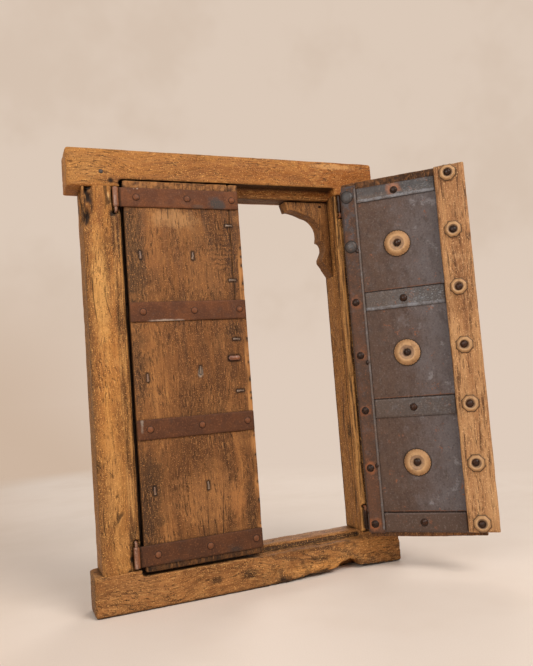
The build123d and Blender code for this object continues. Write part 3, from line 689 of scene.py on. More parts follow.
# The skin, rust, grey and dust, then gloss, specular, blotches, dull places, marks and specks
irons = {name: iron(f"{name}_iron", *look) for name, *look in (
    ("strap", (90, 54, 34), (114, 68, 39), (86, 68, 54), (148, 93, 56),
     0.62, 0.18, 0.7, 0.25, inner_strap_marks, 0.45),
    ("left_sheet", *SHEET_LOOK, sheet_marks(left_leaf)),
    ("right_sheet", *SHEET_LOOK, sheet_marks(right_leaf)),
    ("outer_strap", (72, 68, 67), (84, 67, 56), (110, 112, 118), (132, 120, 112),
     0.44, 0.35, 0.45, 0.4, outer_strap_marks),
    ("upright", (76, 55, 43), (96, 64, 45), (92, 88, 88), (142, 92, 62),
     0.55, 0.24, 0.7, 0.3, upright_strap_marks, 0.45),
    # The rib's paler, bluer iron is a painted highlight along it
    ("rib", (92, 83, 78), (100, 78, 64), (126, 124, 126), (142, 112, 94), 0.46, 0.35, 0.6, 0.5),
    ("nail", (38, 22, 14), (66, 36, 19), (60, 42, 31), (112, 70, 40), 0.28, 0.24, 0.5, 0.25, None, 0.35),
    # The clench's pale grey places: rubbed iron and a painted highlight
    ("clench", (96, 74, 56), (112, 78, 52), (214, 186, 156), (170, 132, 98),
     0.36, 0.6, 0.5, 0.85, clench_marks),
    ("stud", (64, 61, 60), (74, 58, 48), (96, 98, 102), (128, 86, 60), 0.42, 0.35, 0.4, 0.5),
    ("pin", (104, 64, 42), (130, 80, 48), (150, 118, 98), (176, 124, 88),
     0.38, 0.45, 0.7, 0.4, left_barrel_marks),
    ("rivet", (100, 59, 35), (124, 72, 41), (118, 84, 62), (158, 102, 62), 0.5, 0.25, 0.7, 0.3),
    # The latch's violet-grey places are a painted highlight
    ("latch", (104, 58, 32), (138, 78, 40), (186, 164, 158), (196, 140, 100), 0.36, 0.5, 0.7, 0.7),
)}
brass = aged_brass("aged_brass")


# Worn wood

GRAIN_STRETCH = {"X": (9, 1, 1), "Z": (1, 1, 9)}
SHOULDERS = (51.5 * MM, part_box("lintel")[0].z + 3.5 * MM)     # where the stiles meet the sill and the lintel
# Places on a board's height z and width s
BOARD_FOOT = 0.056            # its lower end is dark up to here
END_GRAIN = 0.5465            # its inner face is splintered above this
BOARD_END, PAST_END = 0.5552, 0.57     # its own upper end, and a height past it
RUBBED_EDGE, NOTCHED_EDGE, PAST_EDGE = 0.1675, 0.1692, 0.18
JOINT_START, JOINT_END = 0.1562, 0.1574
OUTER_SIDE = 4 * MM           # a point with a greater t lies on its outer side


def clamp(value, high=1):
    return min(high, max(0, value))


def wobble(x, y, z):
    """Smooth noise about 0."""
    return noise.noise(Vector((x, y, z)))


def ripple(point, size, stretch=(1, 1, 1), octaves=3):
    """Layered noise about 0, with features of a size, stretched along an axis."""
    scaled = Vector((point.x / stretch[0], point.y / stretch[1], point.z / stretch[2])) / size
    return noise.fractal(scaled, 0.9, 2.1, octaves)


def worn_wood(node, body, slot, material, grain, voxel, wear, soften=1, shape=None, shift=None):
    """A node's form cut again as worn timber: softened arrises, hollows, and grooves along the grain.
    Voxels and wear are in millimetres. The shape gives each point's depth and paint, the shift moves
    it to close a joint."""
    wear *= MM
    source = new_object(f"{node}_source", nodes[node].data.copy())
    cut = source.modifiers.new("cut", "REMESH")
    cut.mode = "VOXEL"
    cut.voxel_size = voxel * MM
    evaluated = source.evaluated_get(bpy.context.evaluated_depsgraph_get())
    work = bmesh.new()
    work.from_mesh(bpy.data.meshes.new_from_object(evaluated))
    bpy.data.objects.remove(source)
    for _ in range(soften):
        bmesh.ops.smooth_vert(
            work, verts=work.verts, factor=0.5, use_axis_x=True, use_axis_y=True, use_axis_z=True,
        )
    work.normal_update()
    # Dark paint: rot and dark marks, and painted shade given by the shapes
    rot = work.verts.layers.float.new("rot")
    bare = work.verts.layers.float.new("bare")
    stretch = GRAIN_STRETCH[grain]
    moves = []
    for vertex in work.verts:
        hollow = max(0, ripple(vertex.co, 28 * MM)) * wear
        groove = max(0, ripple(vertex.co + Vector((1, 2, 3)), 5 * MM, stretch, 2)) * wear * 0.7
        push = hollow + groove
        if shape:
            extra, vertex[rot], vertex[bare] = shape(vertex.co, vertex.normal)
            push += extra
        moves.append(vertex.normal * -push)
        if shift:
            moves[-1] += shift(vertex.co)
    for vertex, move in zip(work.verts, moves):
        vertex.co += move
    finish_piece(work, node, "worn", body, slot, material)


def near(value, start, end, soft):
    """1 between two values, falling to 0 over a soft margin outside them."""
    return clamp(1 + min(value - start, end - value) / soft)


def ring_round(point, x, z, radius):
    """1 at a place on the front face, falling to 0 at a radius."""
    distance = Vector((point.x - x, point.z - z)).length
    return max(0, 1 - distance / radius) if point.y < 0 else 0


def splintered_bead(point, start, end):
    """How far a point lies on a stile's splintered strip, and how deep its splinters are there."""
    bead = near(point.x, start, end, 2 * MM) * (point.y < -0.008)
    return bead, ripple(point, 2.6 * MM, (1, 1, 22), 2)


def left_stile_shape(point, normal):
    """A rotten hollow at the outer top corner, a splintered bead and gouges beside the hinges, with painted
    shadow in the gouges.
    """
    hollow = near(point.x, -0.235, -0.2, 6 * MM) * near(point.z, 0.508, 0.56, 16 * MM)
    hollow *= near(point.y, -0.03, -0.008, 12 * MM)
    depth = max(0, hollow * (0.5 + 0.9 * ripple(point, 9 * MM, (1, 1, 3))))
    bead, splinter = splintered_bead(point, -0.173, -0.158)
    gouge = ring_round(point, -0.171, 0.512, 6 * MM) + ring_round(point, -0.1755, 0.0515, 5 * MM)
    gouge += 0.8 * ring_round(point, -0.1725, 0.066, 5 * MM)
    push = depth * 7 * MM + bead * max(0, splinter) * 1.6 * MM + gouge * 1.5 * MM
    # The gouges' darkness is painted shadow; the hollow's and the splinters' is rot
    dark = clamp(depth * 2.2 - 0.35, 0.95) + bead * clamp(splinter, 0.6) + min(0.95, 1.6 * gouge)
    return push, min(1, dark), bead * max(0, -splinter) * 0.6


def right_stile_shape(point, normal):
    """A splintered strip beside the bead, which faces the opening."""
    bead, splinter = splintered_bead(point, 0.158, 0.175)
    push = bead * max(0, splinter) * 1.6 * MM
    return push, min(0.8, bead * max(0, splinter) * 1.5), bead * max(0, -splinter) * 0.4


def lintel_shape(point, normal):
    """Painted shadow in the gouged sockets over the left hinge, and painted shade on the rebate's downward
    faces, darkest on its ceiling.
    """
    # Painted shadow in the sockets
    gouge = ring_round(point, -0.1713, 0.5565, 4.5 * MM) + ring_round(point, -0.1588, 0.5535, 5 * MM)
    rebate = near(point.x, -0.168, 0.168, 2 * MM) * near(point.z, 0.5, 0.562, MM) * (point.y < 0.02)
    # Painted shade on faces that look down in the rebate
    under = max(0, -normal.z) * rebate * (0.85 if point.z > 0.553 else 0.6)
    return gouge * 1.5 * MM, min(0.95, 2 * gouge + under), 0


def sill_shape(point, normal):
    """Deeper wear along the upper and lower front edges on the right."""
    front = point.y < -0.015
    upper = near(point.x, 0.0, 0.22, 40 * MM) * near(point.z, 0.034, 0.06, 8 * MM) * front
    lower = near(point.x, 0.02, 0.21, 25 * MM) * near(point.z, -0.01, 0.022, 6 * MM) * front
    push = upper * (0.5 + 0.7 * ripple(point, 30 * MM)) * 3 * MM
    push += lower * max(0, 0.3 + ripple(point, 12 * MM)) * 2.4 * MM
    rotten = lower * near(point.z, -0.01, 0.008, 4 * MM) * near(point.x, 0.03, 0.14, 20 * MM)
    ragged = 0.35 + 1.1 * ripple(point, 7 * MM, (2, 1, 1))
    return max(0, push), clamp(rotten * ragged, 0.9), 0


def bracket_shape(point, normal):
    """Painted shade on the faces that look down or to the left."""
    # Painted shade by how far a face looks down and to the left
    return 0, 0.2 * max(0, -normal.z) + 0.1 * max(0, -normal.x), 0


def shoulder_shift(point):
    """The stiles' ends reach into the beams, which closes the joints between softened arrises."""
    low, high = (near(point.z, level - MM, level + MM, 2 * MM) for level in SHOULDERS)
    return Vector((0, 0, (high - low) * 2.2 * MM))


def joint_shift(leaf, part):
    """Closes the joint between a shutter's boards, less so towards its top."""
    seam = leaf.node_span(f"{leaf.name}_main_board")[0][1]
    toward = 1 if part == "main" else -1

    def shift(point):
        s = (point - leaf.pin).dot(leaf.along)
        closed = 1.7 * MM - 1.2 * MM * near(point.z, 0.38, 0.6, 20 * MM)
        return leaf.along * (toward * closed * near(s, seam - MM, seam + MM, 2.5 * MM))

    return shift


def clench_span(leaf, points):
    """Where a nail's beaten-over point lies: its s and z ranges and its depth."""
    deepest = leaf.span(points)[1][0]
    inner = [p for p in points if (p - leaf.pin).dot(leaf.outward) < deepest + 0.2 * MM]
    (s0, s1), _, (z0, z1) = leaf.span(inner)
    return s0, s1, z0, z1, deepest


def board_shape(leaf):
    """Splintered bare ends, a rubbed free edge, a dark joint and a ring of painted contact shade round each
    nail point and the latch.
    """
    clenches = [
        clench_span(leaf, points)[:4]
        for kind in ("clenched", "rosette")
        for points in islands(f"{leaf.name}_{kind}_nails")
    ]
    if leaf is left_leaf:
        (s0, s1), _, (z0, z1) = leaf.node_span("left_latch_staple")
        clenches.append((s0, s1, z0, z1))

    def shape(point, normal):
        place = point - leaf.pin
        s, t, z = place.dot(leaf.along), place.dot(leaf.outward), point.z
        raised = -1.1 * MM * near(z, BOARD_END, PAST_END, MM) * max(0, normal.z)
        if t > OUTER_SIDE:
            worn = near(z, 0.546, PAST_END, 2 * MM) * max(0, 0.5 + 0.8 * ripple(point, 4 * MM))
            return raised, min(0.7, worn), 0
        dark = bare = 0
        # A ring of painted contact shade round each nail point and round the latch staple
        for s0, s1, z0, z1 in clenches:
            away = Vector((max(s0 - s, 0, s - s1), max(z0 - z, 0, z - z1))).length
            dark = max(dark, 0.85 * near(away, -1, 1.2 * MM, 2.4 * MM))
        splinter = ripple(point, 3 * MM, (1, 1, 7), 2)
        if z > END_GRAIN:
            chips = ripple(point, 4 * MM, (1.5, 1, 1), 3)
            bare = clamp(0.2 + 0.5 * chips + 0.5 * splinter - 1.5 * max(0, s - 0.09), 0.6)
            dark = max(dark, clamp(0.05 - 0.6 * chips - 0.4 * splinter, 0.5))
        patchy = clamp(0.35 + 2.2 * wobble(z / 0.035, 0.4, 3.1))
        edge = near(s, RUBBED_EDGE - 0.002 * patchy, PAST_EDGE, 1.2 * MM) * patchy
        edge *= near(z, 0.06, 0.5, 15 * MM)
        bare = max(bare, min(0.9, edge * (0.8 + splinter)))
        sway = 0.003 * wobble(z / 0.025, 0.7, 5.2)
        joint = near(s, JOINT_START + sway, JOINT_END + sway, 1.3 * MM)
        faded = 0.55 + 1.1 * wobble(z / 0.03, 2.4, 1.9)
        faded -= 0.55 * (1 - near(z, 0.37, 0.6, 20 * MM))
        dark = max(dark, min(0.9, joint * faded))
        notch = near(s, NOTCHED_EDGE, PAST_EDGE, 0.8 * MM) * (wobble(z / 0.0055, 1.1, 7.7) - 0.12)
        dark = max(dark, min(0.9, 4 * notch))
        if z < BOARD_FOOT:
            dark = max(dark, 0.62 + 0.4 * splinter)
        return raised, clamp(dark), bare

    return shape


for node, grain, voxel, wear, soften, shape, shift in (
    ("lintel", "X", 1.7, 0.8, 1, lintel_shape, None),
    ("sill", "X", 1.8, 1.0, 2, sill_shape, None),
    ("left_stile", "Z", 1.7, 0.6, 2, left_stile_shape, shoulder_shift),
    ("right_stile", "Z", 1.7, 0.35, 1, right_stile_shape, shoulder_shift),
):
    worn_wood(node, "frame", "frame_wood", woods[node], grain, voxel, wear, soften, shape, shift)
for leaf in leaves:
    name = leaf.name
    worn_wood(f"{name}_bracket", "frame", "frame_wood", woods["bracket"], "Z", 0.8, 0.35, 1, bracket_shape)
    for part in ("main", "edge"):
        worn_wood(
            f"{name}_{part}_board", leaf.body, "leaf_wood", woods[f"{name}_board"], "Z", 1.6, 0.6, 1,
            board_shape(leaf), joint_shift(leaf, part),
        )
worn_wood("right_batten", "right_leaf", "batten_wood", woods["batten"], "Z", 1.8, 0.6, 2)
nodes["tenon_pegs"].data.materials.clear()
nodes["tenon_pegs"].data.materials.append(woods["left_stile"])


# Forged iron

BARREL_RADIUS = 4.06 * MM
BARREL_BORE = 2.1 * MM
STRAP_THICKNESS = 2.0 * MM
PIN_RADIUS = 1.95 * MM


def turned_form(work, centre, axes, profile, segments, shape, layers=()):
    """A form turned about the last of three axes. The profile gives (radius, height), shape bends
    each point, and each layer has its paint."""
    right, up, out = axes
    rings = []
    for radius, height in profile:
        ring = []
        for step in range(segments if radius > 0 else 1):
            angle = 2 * pi * step / segments
            wide, high = shape(radius, height, angle)
            spot = centre + right * (wide * cos(angle)) + up * (wide * sin(angle)) + out * high
            vertex = work.verts.new(spot)
            for layer, paint in layers:
                vertex[layer] = paint(radius, height)
            ring.append(vertex)
        rings.append(ring)
    for inner, outer in zip(rings[:-1], rings[1:]):
        for step in range(segments):
            following = (step + 1) % segments
            if len(inner) == 1:
                work.faces.new((inner[0], outer[step], outer[following]))
            elif len(outer) == 1:
                work.faces.new((inner[following], inner[step], outer[0]))
            else:
                work.faces.new((inner[step], outer[step], outer[following], inner[following]))


def skin(work, sections):
    """Faces along a row of closed sections and over its two ends."""
    for first, second in zip(sections[:-1], sections[1:]):
        count = len(first)
        for index in range(count):
            following = (index + 1) % count
            work.faces.new((first[index], first[following], second[following], second[index]))
    work.faces.new(sections[0])
    work.faces.new(list(reversed(sections[-1])))


def dome_profile(radius, rise, flat=0.15):
    """A hammered head from its crown to its sunk rim."""
    points = [(0, rise)]
    for step in range(1, 8):
        turn = pi / 2 * step / 7
        points.append((radius * (flat + (1 - flat) * sin(turn)), 0.3 * MM + (rise - 0.3 * MM) * cos(turn)))
    # A thin flange round the foot carries the painted shadow ring
    points += [(radius * 1.03, 0.3 * MM), (radius * 1.2, 0.26 * MM), (radius * 1.18, -0.1 * MM)]
    points += [(radius * 0.84, -0.3 * MM), (radius * 0.84, -0.6 * MM)]
    return points


def hammered_heads(work, node, out, size, step, origin, flat=0.15, roughness=0.08, drift=Vector()):
    """A hammered head over each nail of a node, on the side that faces out, with a painted shadow ring round
    it. The size gives a head's radius, its height and the height of its solid, in millimetres. Each head lies
    a step further in the noise, and drifts a little from its place."""
    radius, rise, built = (value * MM for value in size)
    head_shadow = work.verts.layers.float.new("head_shadow")
    right = UP.cross(out).normalized()
    up = out.cross(right).normalized()
    for number, points in enumerate(islands(node)):
        depths = [p.dot(out) for p in points]
        top = max(depths)
        crown = [p for p, depth in zip(points, depths) if depth > top - 0.05 * MM]
        place = Vector((number * step, *origin))
        centre = sum(crown, Vector()) / len(crown) - out * built
        centre += drift * noise.noise(place) + UP * (drift.length * noise.noise(place * 2))

        def hammered(wide, high, angle):
            bumps = noise.noise(Vector((cos(angle), sin(angle), high / radius * 2)) * 1.3 + place)
            return wide * (1 + roughness * bumps), high * (1 + roughness * bumps)

        def shadow_paint(wide, high):
            return 0.9 if wide > 1.01 * radius else 0

        profile = dome_profile(radius, rise, flat)
        turned_form(work, centre, (right, up, out), profile, 20, hammered, ((head_shadow, shadow_paint),))


def forged_heads(node, body, slot, look, out, size, flat=0.15, roughness=0.07):
    """Heads alone, for nails whose shanks are hidden."""
    work = bmesh.new()
    hammered_heads(work, node, out, size, 3.7, (1.3, 2.1), flat, roughness)
    finish_piece(work, node, "forged", body, slot, irons[look])


def bar(work, origin, along, across, out, size, seed, waver=0.25 * MM, bow=0.15 * MM, sides=10):
    """A forged flat bar with softened, slightly uneven edges, from one corner of its underside. The
    size gives its length, width and thickness."""
    length, width, thickness = size
    steps = max(6, int(length / (3 * MM)))
    corner = min(0.45 * MM, thickness * 0.3)
    sections = []
    for step in range(steps + 1):
        place = length * step / steps
        low, high = (waver * wobble(place / (14 * MM), seed, z) for z in (0.3, 8.3))
        lift = bow * (0.5 + 0.5 * wobble(place / (26 * MM), seed, 4.7))
        inset = 0.5 * MM if step in (0, steps) else 0
        start, end = max(0, low) + inset, width + min(0, high) - inset
        ring = [
            (start, corner), (start + corner, 0), (end - corner, 0), (end, corner),
            (end, thickness - corner),
        ]
        for share in range(sides + 1):
            position = end - corner - (end - start - 2 * corner) * share / sides
            dent = 0.12 * MM * wobble(place / (7 * MM), position / (7 * MM), seed)
            ring.append((position, thickness + dent - 0.08 * MM))
        ring.append((start, thickness - corner))
        sections.append([
            work.verts.new(origin + along * place + across * wide + out * (thick + lift * (thick > corner)))
            for wide, thick in ring
        ])
    skin(work, sections)


def flat_strap(leaf, node, slot, look, seed, inner=False, waver=0.3 * MM, hinge_reach=0):
    """A level strap or a sheet, laid over its node's own span. Its hinge end can reach further."""
    (s0, s1), (t0, t1), (z0, z1) = leaf.node_span(node)
    s0 -= hinge_reach
    work = bmesh.new()
    seat, out = (t1, -leaf.outward) if inner else (t0, leaf.outward)
    bar(work, leaf.place(s0, seat, z0), leaf.along, UP, out, (s1 - s0, z1 - z0, t1 - t0), seed, waver)
    finish_piece(work, node, "forged", leaf.body, slot, irons[look])


def hinge_strap(leaf, node, seed):
    """A strap whose end is rolled into a barrel round the pin."""
    (_, s1), _, (z0, z1) = leaf.node_span(node)
    work = bmesh.new()
    start = 3.2 * MM
    height = z1 - z0
    bar(
        work, leaf.place(start, STRAP_THICKNESS / 2, z0), leaf.along, UP, -leaf.outward,
        (s1 - start, height, STRAP_THICKNESS), seed, 0.35 * MM,
    )
    inner, outer = BARREL_RADIUS - 0.5 * MM, BARREL_RADIUS - 0.1 * MM
    profile = [(BARREL_BORE, 0), (inner, 0), (outer, 0.5 * MM)]
    profile += [(BARREL_RADIUS - 0.05 * MM, height * share / 12) for share in range(1, 12)]
    profile += [(outer, height - 0.5 * MM), (inner, height), (BARREL_BORE, height)]

    def rolled(wide, high, angle):
        bump = wobble(cos(angle) * 1.5, sin(angle) * 1.5, high / (6 * MM) + seed)
        return wide + (0.3 * MM * min(0, bump) if wide > BARREL_BORE * 1.2 else 0), high

    axes = (Vector((1, 0, 0)), Vector((0, 1, 0)), UP)
    turned_form(work, leaf.place(0, 0, z0), axes, profile, 24, rolled)
    for face in work.faces:
        face.material_index = int((face.calc_center_median() - leaf.pin).dot(leaf.along) < start)
    barrel_iron = irons["pin" if leaf is left_leaf else "nail"]
    finish_piece(work, node, "forged", leaf.body, "strap_iron", irons["strap"], barrel_iron)


def hinge_pin(node, top):
    """A rod bent round at one end, which goes back into the stile."""
    low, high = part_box(node)
    x = (low.x + high.x) / 2
    front = low.y + PIN_RADIUS
    free, bend = (high.z, low.z + PIN_RADIUS) if top else (low.z, high.z - PIN_RADIUS)
    toward = 1 if top else -1
    curve = bpy.data.curves.new(f"{node}_bent", "CURVE")
    curve.dimensions = "3D"
    curve.bevel_depth = PIN_RADIUS
    curve.bevel_resolution = 4
    curve.use_fill_caps = True
    corner = 3.2 * MM
    places = [
        Vector((x, front, free)), Vector((x, front, bend + toward * corner)),
        Vector((x, front + corner, bend)), Vector((x, high.y - MM, bend)),
    ]
    points = curve.splines.new("BEZIER").bezier_points
    points.add(len(places) - 1)
    for point, place in zip(points, places):
        point.co = place
        point.handle_left_type = point.handle_right_type = "VECTOR"
    quarter = corner * 0.55
    points[1].handle_right_type = points[2].handle_left_type = "FREE"
    points[1].handle_right = places[1] - Vector((0, 0, toward * quarter))
    points[2].handle_left = places[2] - Vector((0, quarter, 0))
    curve.materials.append(irons["pin"])
    hand_in(new_object(f"{node}_bent", curve), node, "frame")


def upright_strap(leaf, node, seed):
    """The upright outer strap, with a thin rib beaten up along its inner edge."""
    (s0, s1), (t0, t1), (z0, z1) = leaf.node_span(node)
    rib_rise, rib_width, rib_foot = 1.0 * MM, 3.0 * MM, 0.4 * MM
    work = bmesh.new()
    directions = (UP, leaf.along, leaf.outward)
    bar(work, leaf.place(s0, t0, z0), *directions, (z1 - z0, s1 - s0, t1 - t0 - rib_rise), seed)
    strap_faces = len(work.faces)
    rib_start = leaf.place(s1 - rib_width, t1 - rib_rise - rib_foot, z0 + 5 * MM)
    rib_size = (z1 - z0 - 10 * MM, rib_width, rib_rise + rib_foot)
    bar(work, rib_start, *directions, rib_size, seed + 4, 0.3 * MM, 0, 4)
    work.faces.ensure_lookup_table()
    # The rib takes the paler iron, a painted highlight
    for face in work.faces[strap_faces:]:
        face.material_index = 1
    finish_piece(work, node, "forged", leaf.body, "outer_strap_iron", irons["upright"], irons["rib"])


CLENCH_RING = ((-1, 0.3), (-1, -0.5), (-0.6, -1), (0.6, -1), (1, -0.5), (1, 0.3))


def clenched_points(work, leaf, node, seed):
    """Nail points beaten over on the inner face, tapering to their ends."""
    for number, points in enumerate(islands(node)):
        s0, s1, z0, z1, deepest = clench_span(leaf, points)
        length = max(s1 - s0, z1 - z0)
        twist = 0.16 * wobble(number * 2.3, seed, 0.7)
        direction, across = (leaf.along, UP) if s1 - s0 > z1 - z0 else (UP, leaf.along)
        direction = (direction + across * twist).normalized()
        side = direction.cross(leaf.outward).normalized()
        centre = leaf.place((s0 + s1) / 2, deepest, (z0 + z1) / 2)
        sections = []
        steps = 12
        for step in range(steps + 1):
            share = step / steps
            half = 1.5 * MM * (1 - 0.45 * share) * (0.7 if step in (0, steps) else 1)
            lift = 1.25 * MM * (1 - 0.7 * share ** 2)
            bend = 0.5 * MM * wobble(share * 3, number * 1.7, seed)
            spot = centre + direction * (length * (share - 0.5)) + side * bend + leaf.outward * 1.3 * MM
            sections.append([
                work.verts.new(spot + side * (half * wide) + leaf.outward * (lift * high))
                for wide, high in CLENCH_RING
            ])
        skin(work, sections)
    for face in work.faces:
        face.material_index = 1


def through_nails(leaf, node, size, seed):
    """Nails with a hammered head outside and a clenched point inside."""
    work = bmesh.new()
    clenched_points(work, leaf, node, seed)
    hammered_heads(work, node, leaf.outward, size, 3.1, (seed, 0.9), drift=leaf.along * 2.4 * MM)
    finish_piece(work, node, "forged", leaf.body, "nail_iron", irons["nail"], irons["clench"])


# Rosettes: radii and heights in millimetres

BIG_TEETH = 28
BIG_PROFILE = [
    (0, 1.3), (3.6, 1.3), (4.8, 1.8), (6, 2.5), (7.5, 3.2), (9.5, 3.8), (11.5, 4.1), (13.5, 3.8), (15.2, 3.1),
    (16.6, 2.2), (17.4, 1.5), (18, 1.0), (18.8, 0.8), (19.8, 0.7), (19.8, 0.0),
]
SMALL_PROFILE = [
    (0, 0.9), (3.4, 0.9), (4.6, 1.4), (5.6, 2.4), (6.4, 3.1), (7.2, 3.5), (8.2, 3.5), (9.6, 2.9), (10.8, 1.9),
    (11.6, 1.3), (12.2, 1.05), (12.7, 1.15), (13, 0.8), (13, 0.0),
]


def rosettes(leaf, node, profile, segments, outline, shadow_ring, seed):
    """Dished brass rosettes, each a little out of true, with a ring of painted shadow between two shares of
    their size and along their foot.
    """
    work = bmesh.new()
    away = work.verts.layers.float.new("away")
    rim = work.verts.layers.float.new("rim")
    largest = profile[-1][0]
    ring_start, ring_end = (share * largest for share in shadow_ring)
    for number, points in enumerate(islands(node)):
        (s0, s1), (t0, _), (z0, z1) = leaf.span(points)
        turn = Vector((number * 5.1, seed, 0.4))

        def beaten(wide, high, angle):
            bump = noise.noise(Vector((cos(angle), sin(angle), wide / 6)) * 0.9 + turn)
            drawn_in = (wide / largest) ** 6 * (1 - outline(angle))
            return wide * (1 - drawn_in) * MM, (high + 0.25 * bump * (high > 0)) * MM

        turned_form(
            work, leaf.place((s0 + s1) / 2, t0, (z0 + z1) / 2), (leaf.along, UP, leaf.outward), profile,
            segments, beaten, (
                (away, lambda radius, height: radius / largest),
                # rim paint: painted shadow in the ring and along the foot
                (rim, lambda radius, height: 0.95 if height == 0 or ring_start < radius < ring_end else 0),
            ),
        )
    finish_piece(work, node, "beaten", leaf.body, "brass", brass)


def toothed(angle):
    return 1 - 0.055 * (0.5 - 0.5 * cos(BIG_TEETH * angle))


def eight_hollows(angle):
    return 1 - 0.15 * abs(cos(4 * angle)) ** 0.8


for leaf, seed in ((left_leaf, 0.0), (right_leaf, 20.0)):
    name, body = leaf.name, leaf.body
    hinge_strap(leaf, f"{name}_top_hinge_strap", seed)
    hinge_strap(leaf, f"{name}_bottom_hinge_strap", seed + 1)
    flat_strap(leaf, f"{name}_upper_strap", "strap_iron", "strap", seed + 2, True)
    flat_strap(leaf, f"{name}_lower_strap", "strap_iron", "strap", seed + 3, True)
    forged_heads(f"{name}_strap_rivets", body, "strap_iron", "rivet", -leaf.outward, (4, 1.9, 1.2), 0.3)
    flat_strap(
        leaf, f"{name}_iron_sheet", "sheet_iron", f"{name}_sheet", seed + 4, False, 0.4 * MM, 2 * MM,
    )
    upright_strap(leaf, f"{name}_outer_hinge_strap", seed + 5)
    for number, level in enumerate(OUTER_LEVELS):
        node = f"{name}_outer_{level}_strap"
        flat_strap(leaf, node, "outer_strap_iron", "outer_strap", seed + 6 + number)
    forged_heads(f"{name}_outer_nails", body, "nail_iron", "nail", leaf.outward, (4.5, 2.8, 2.4))
    forged_heads(
        f"{name}_studs", body, "outer_strap_iron", "stud", leaf.outward, (7.8, 2.4, 2.6), 0.3, 0.04,
    )
    rosettes(leaf, f"{name}_rosettes", BIG_PROFILE, BIG_TEETH * 4, toothed, (0.93, 1.01), seed + 11)
rosettes(right_leaf, "batten_rosettes", SMALL_PROFILE, 96, eight_hollows, (0.88, 0.95), 41.0)
for leaf in leaves:
    for end in ("top", "bottom"):
        hinge_pin(f"{leaf.name}_{end}_hinge_pin", end == "top")
through_nails(right_leaf, "batten_nails", (5, 3.6, 3.4), 3.0)
for leaf in leaves:
    through_nails(leaf, f"{leaf.name}_rosette_nails", (4.8, 3.2, 3.2), 5.0)
    through_nails(leaf, f"{leaf.name}_clenched_nails", (3, 1.2, 1.2), 7.0)
forged_heads("lintel_nail", "frame", "nail_iron", "stud", Vector((0, -1, 0)), (2.4, 1, 1))
forged_heads("bracket_nails", "frame", "nail_iron", "nail", Vector((0, -1, -1)).normalized(), (2.2, 1, 0.8))


def latch_staple(node):
    """The staple's thick end, bent over and hammered round."""
    (s0, s1), (t0, _), (z0, z1) = left_leaf.node_span(node)
    work = bmesh.new()
    steps, sides = 14, 12
    sections = []
    for step in range(steps + 1):
        share = step / steps
        bulge = sin(pi * share) ** 0.2
        wide = (z1 - z0) / 2 * (0.4 + 0.85 * bulge)
        tall = 1.9 * MM * (0.35 + 0.65 * bulge)
        centre = left_leaf.place(s0 + (s1 - s0) * share, t0 + 1.8 * MM, (z0 + z1) / 2)
        ring = []
        for side in range(sides):
            angle = 2 * pi * side / sides
            bump = 1 + 0.14 * wobble(share * 3, cos(angle), sin(angle))
            offset = UP * (wide * cos(angle) * bump) + left_leaf.outward * (tall * sin(angle) * bump)
            ring.append(work.verts.new(centre + offset))
        sections.append(ring)
    skin(work, sections)
    finish_piece(work, node, "forged", "left_leaf", "nail_iron", irons["latch"])


latch_staple("left_latch_staple")


# Camera, turned as in the photograph

LEVEL_RIGHT = Vector((cos(CAMERA_YAW), -sin(CAMERA_YAW), 0))
FLOOR_EDGE = (1.45, 1.9)      # distances from the object between which the floor turns into the backdrop


def camera_directions():
    forward = Vector((
        sin(CAMERA_YAW) * cos(CAMERA_PITCH), cos(CAMERA_YAW) * cos(CAMERA_PITCH), sin(CAMERA_PITCH),
    ))
    upright = LEVEL_RIGHT.cross(forward)
    right = LEVEL_RIGHT * cos(CAMERA_ROLL) + upright * sin(CAMERA_ROLL)
    up = upright * cos(CAMERA_ROLL) - LEVEL_RIGHT * sin(CAMERA_ROLL)
    return right, up, forward


right, up, forward = camera_directions()
lens = bpy.data.cameras.new("camera")
lens.sensor_fit = "HORIZONTAL"
lens.sensor_width = 36
lens.lens = 36 * FOCAL_PIXELS / PHOTO_WIDTH
lens.clip_start, lens.clip_end = 0.01, 50
camera = new_object("camera", lens)
camera.matrix_world = Matrix.Translation(CAMERA_SPOT) @ Matrix((right, up, -forward)).transposed().to_4x4()
scene.camera = camera


# Floor and backdrop


def on_floor(column, row):
    """The floor point seen at a pixel of the photograph."""
    ray = forward * FOCAL_PIXELS + right * (column - PHOTO_WIDTH / 2) - up * (row - PHOTO_HEIGHT / 2)
    return CAMERA_SPOT - ray * (CAMERA_SPOT.z / ray.z)


def sideways_colour(make, direction):
    """The backdrop's colour low down, by how far to the side it is, with painted shade on the left."""
    return make.mix(make.dot(direction, LEVEL_RIGHT).fade(*SIDEWAYS), BACKDROP_LEFT, BACKDROP_RIGHT)


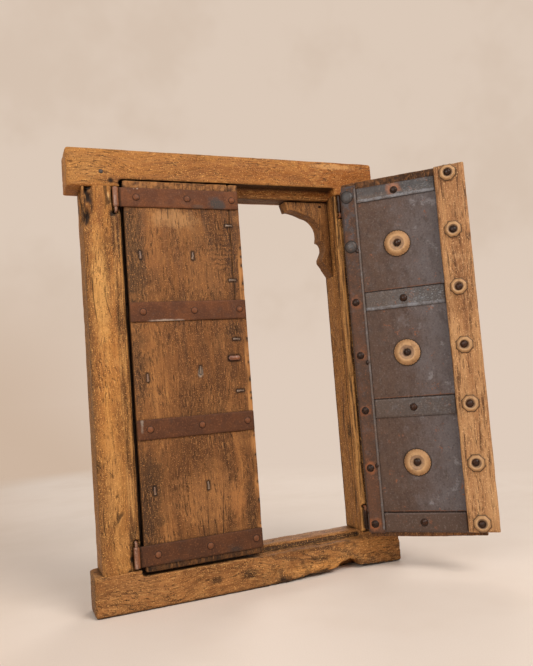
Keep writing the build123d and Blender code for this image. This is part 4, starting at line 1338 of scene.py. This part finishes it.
def plain_floor():
    """A pale floor. Past the line where the photograph's floor ends, it has the backdrop's colour."""
    left_end, right_end = on_floor(0, HORIZON_PIXEL), on_floor(PHOTO_WIDTH, HORIZON_PIXEL)
    run = (right_end - left_end).normalized()
    away = Vector((-run.y, run.x, 0))
    line = left_end.dot(away)
    make = Shader("pale_floor", 0.9, 0.1)
    make.colour = make.mix(make.noise(700, 3, 0.8), (224, 206, 191), (240, 225, 212))
    make.tint((216, 196, 178), make.noise(5, 3, 0.6).fade(0.4, 0.7, 0, 0.25))
    # Painted shade over the floor's left side
    make.tint((200, 164, 130), make.x.fade(-0.15, -0.7, 0, 0.6))
    make.feed(make.principled, {"Base Color": make.colour})
    far_colour = sideways_colour(make, make.vector("NORMALIZE", make.point))
    behind = make.dot(make.point, away).fade(line - 0.2, line + 0.25)
    distance = make.vector("LENGTH", make.point, output="Value")
    share = make.math("MAXIMUM", behind, distance.fade(*FLOOR_EDGE)) * make.seen()
    far = make.node("ShaderNodeEmission", {"Color": far_colour})
    make.show("Material Output", share, make.principled, far)
    work = bmesh.new()
    bmesh.ops.create_grid(work, x_segments=8, y_segments=8, size=40)
    floor = mesh_object(work, "floor", make.material)


def plain_room():
    """A soft light all round. The camera sees the backdrop in its place: painted shade low down on the left,
    softly mottled."""
    world = bpy.data.worlds.new("room")
    scene.world = world
    make = Tree(world, "Generated")
    room = make.tree.nodes["Background"]
    make.feed(room, {"Color": (1, 0.97, 0.94, 1), "Strength": 0.42})
    level = make.vector("NORMALIZE", make.vector("MULTIPLY", make.point, (1, 1, 0)))
    make.colour = make.mix(make.z.fade(0, 0.25), sideways_colour(make, level), BACKDROP_HIGH)
    make.tint((208, 187, 168), make.noise(5, 4, 0.6).fade(0.5, 0.7, 0, 0.5) * make.z.fade(0, 0.15))
    backdrop = make.node("ShaderNodeBackground", {"Color": make.colour})
    make.show("World Output", make.seen(), room, backdrop)


plain_floor()
plain_room()

LAMP_AIM = Vector((0, 0, 0.3))
for name, spot, size, power, colour in (
    ("key", (0.9, -2.3, 2.2), 1.6, 62, (1, 0.98, 0.95)),
    ("fill", (-2.2, -1.6, 1.3), 1.8, 34, (1, 0.99, 0.97)),
    ("rim", (1.6, 2.2, 1.8), 1.6, 26, (1, 0.98, 0.96)),
):
    data = bpy.data.lights.new(name, "AREA")
    data.shape = "DISK"
    data.size = size
    data.energy = power
    data.color = colour
    lamp = new_object(name, data)
    lamp.location = spot
    lamp.rotation_mode = "QUATERNION"
    lamp.rotation_quaternion = (LAMP_AIM - Vector(spot)).to_track_quat("-Z", "Y")
scene.view_settings.view_transform = "Standard"
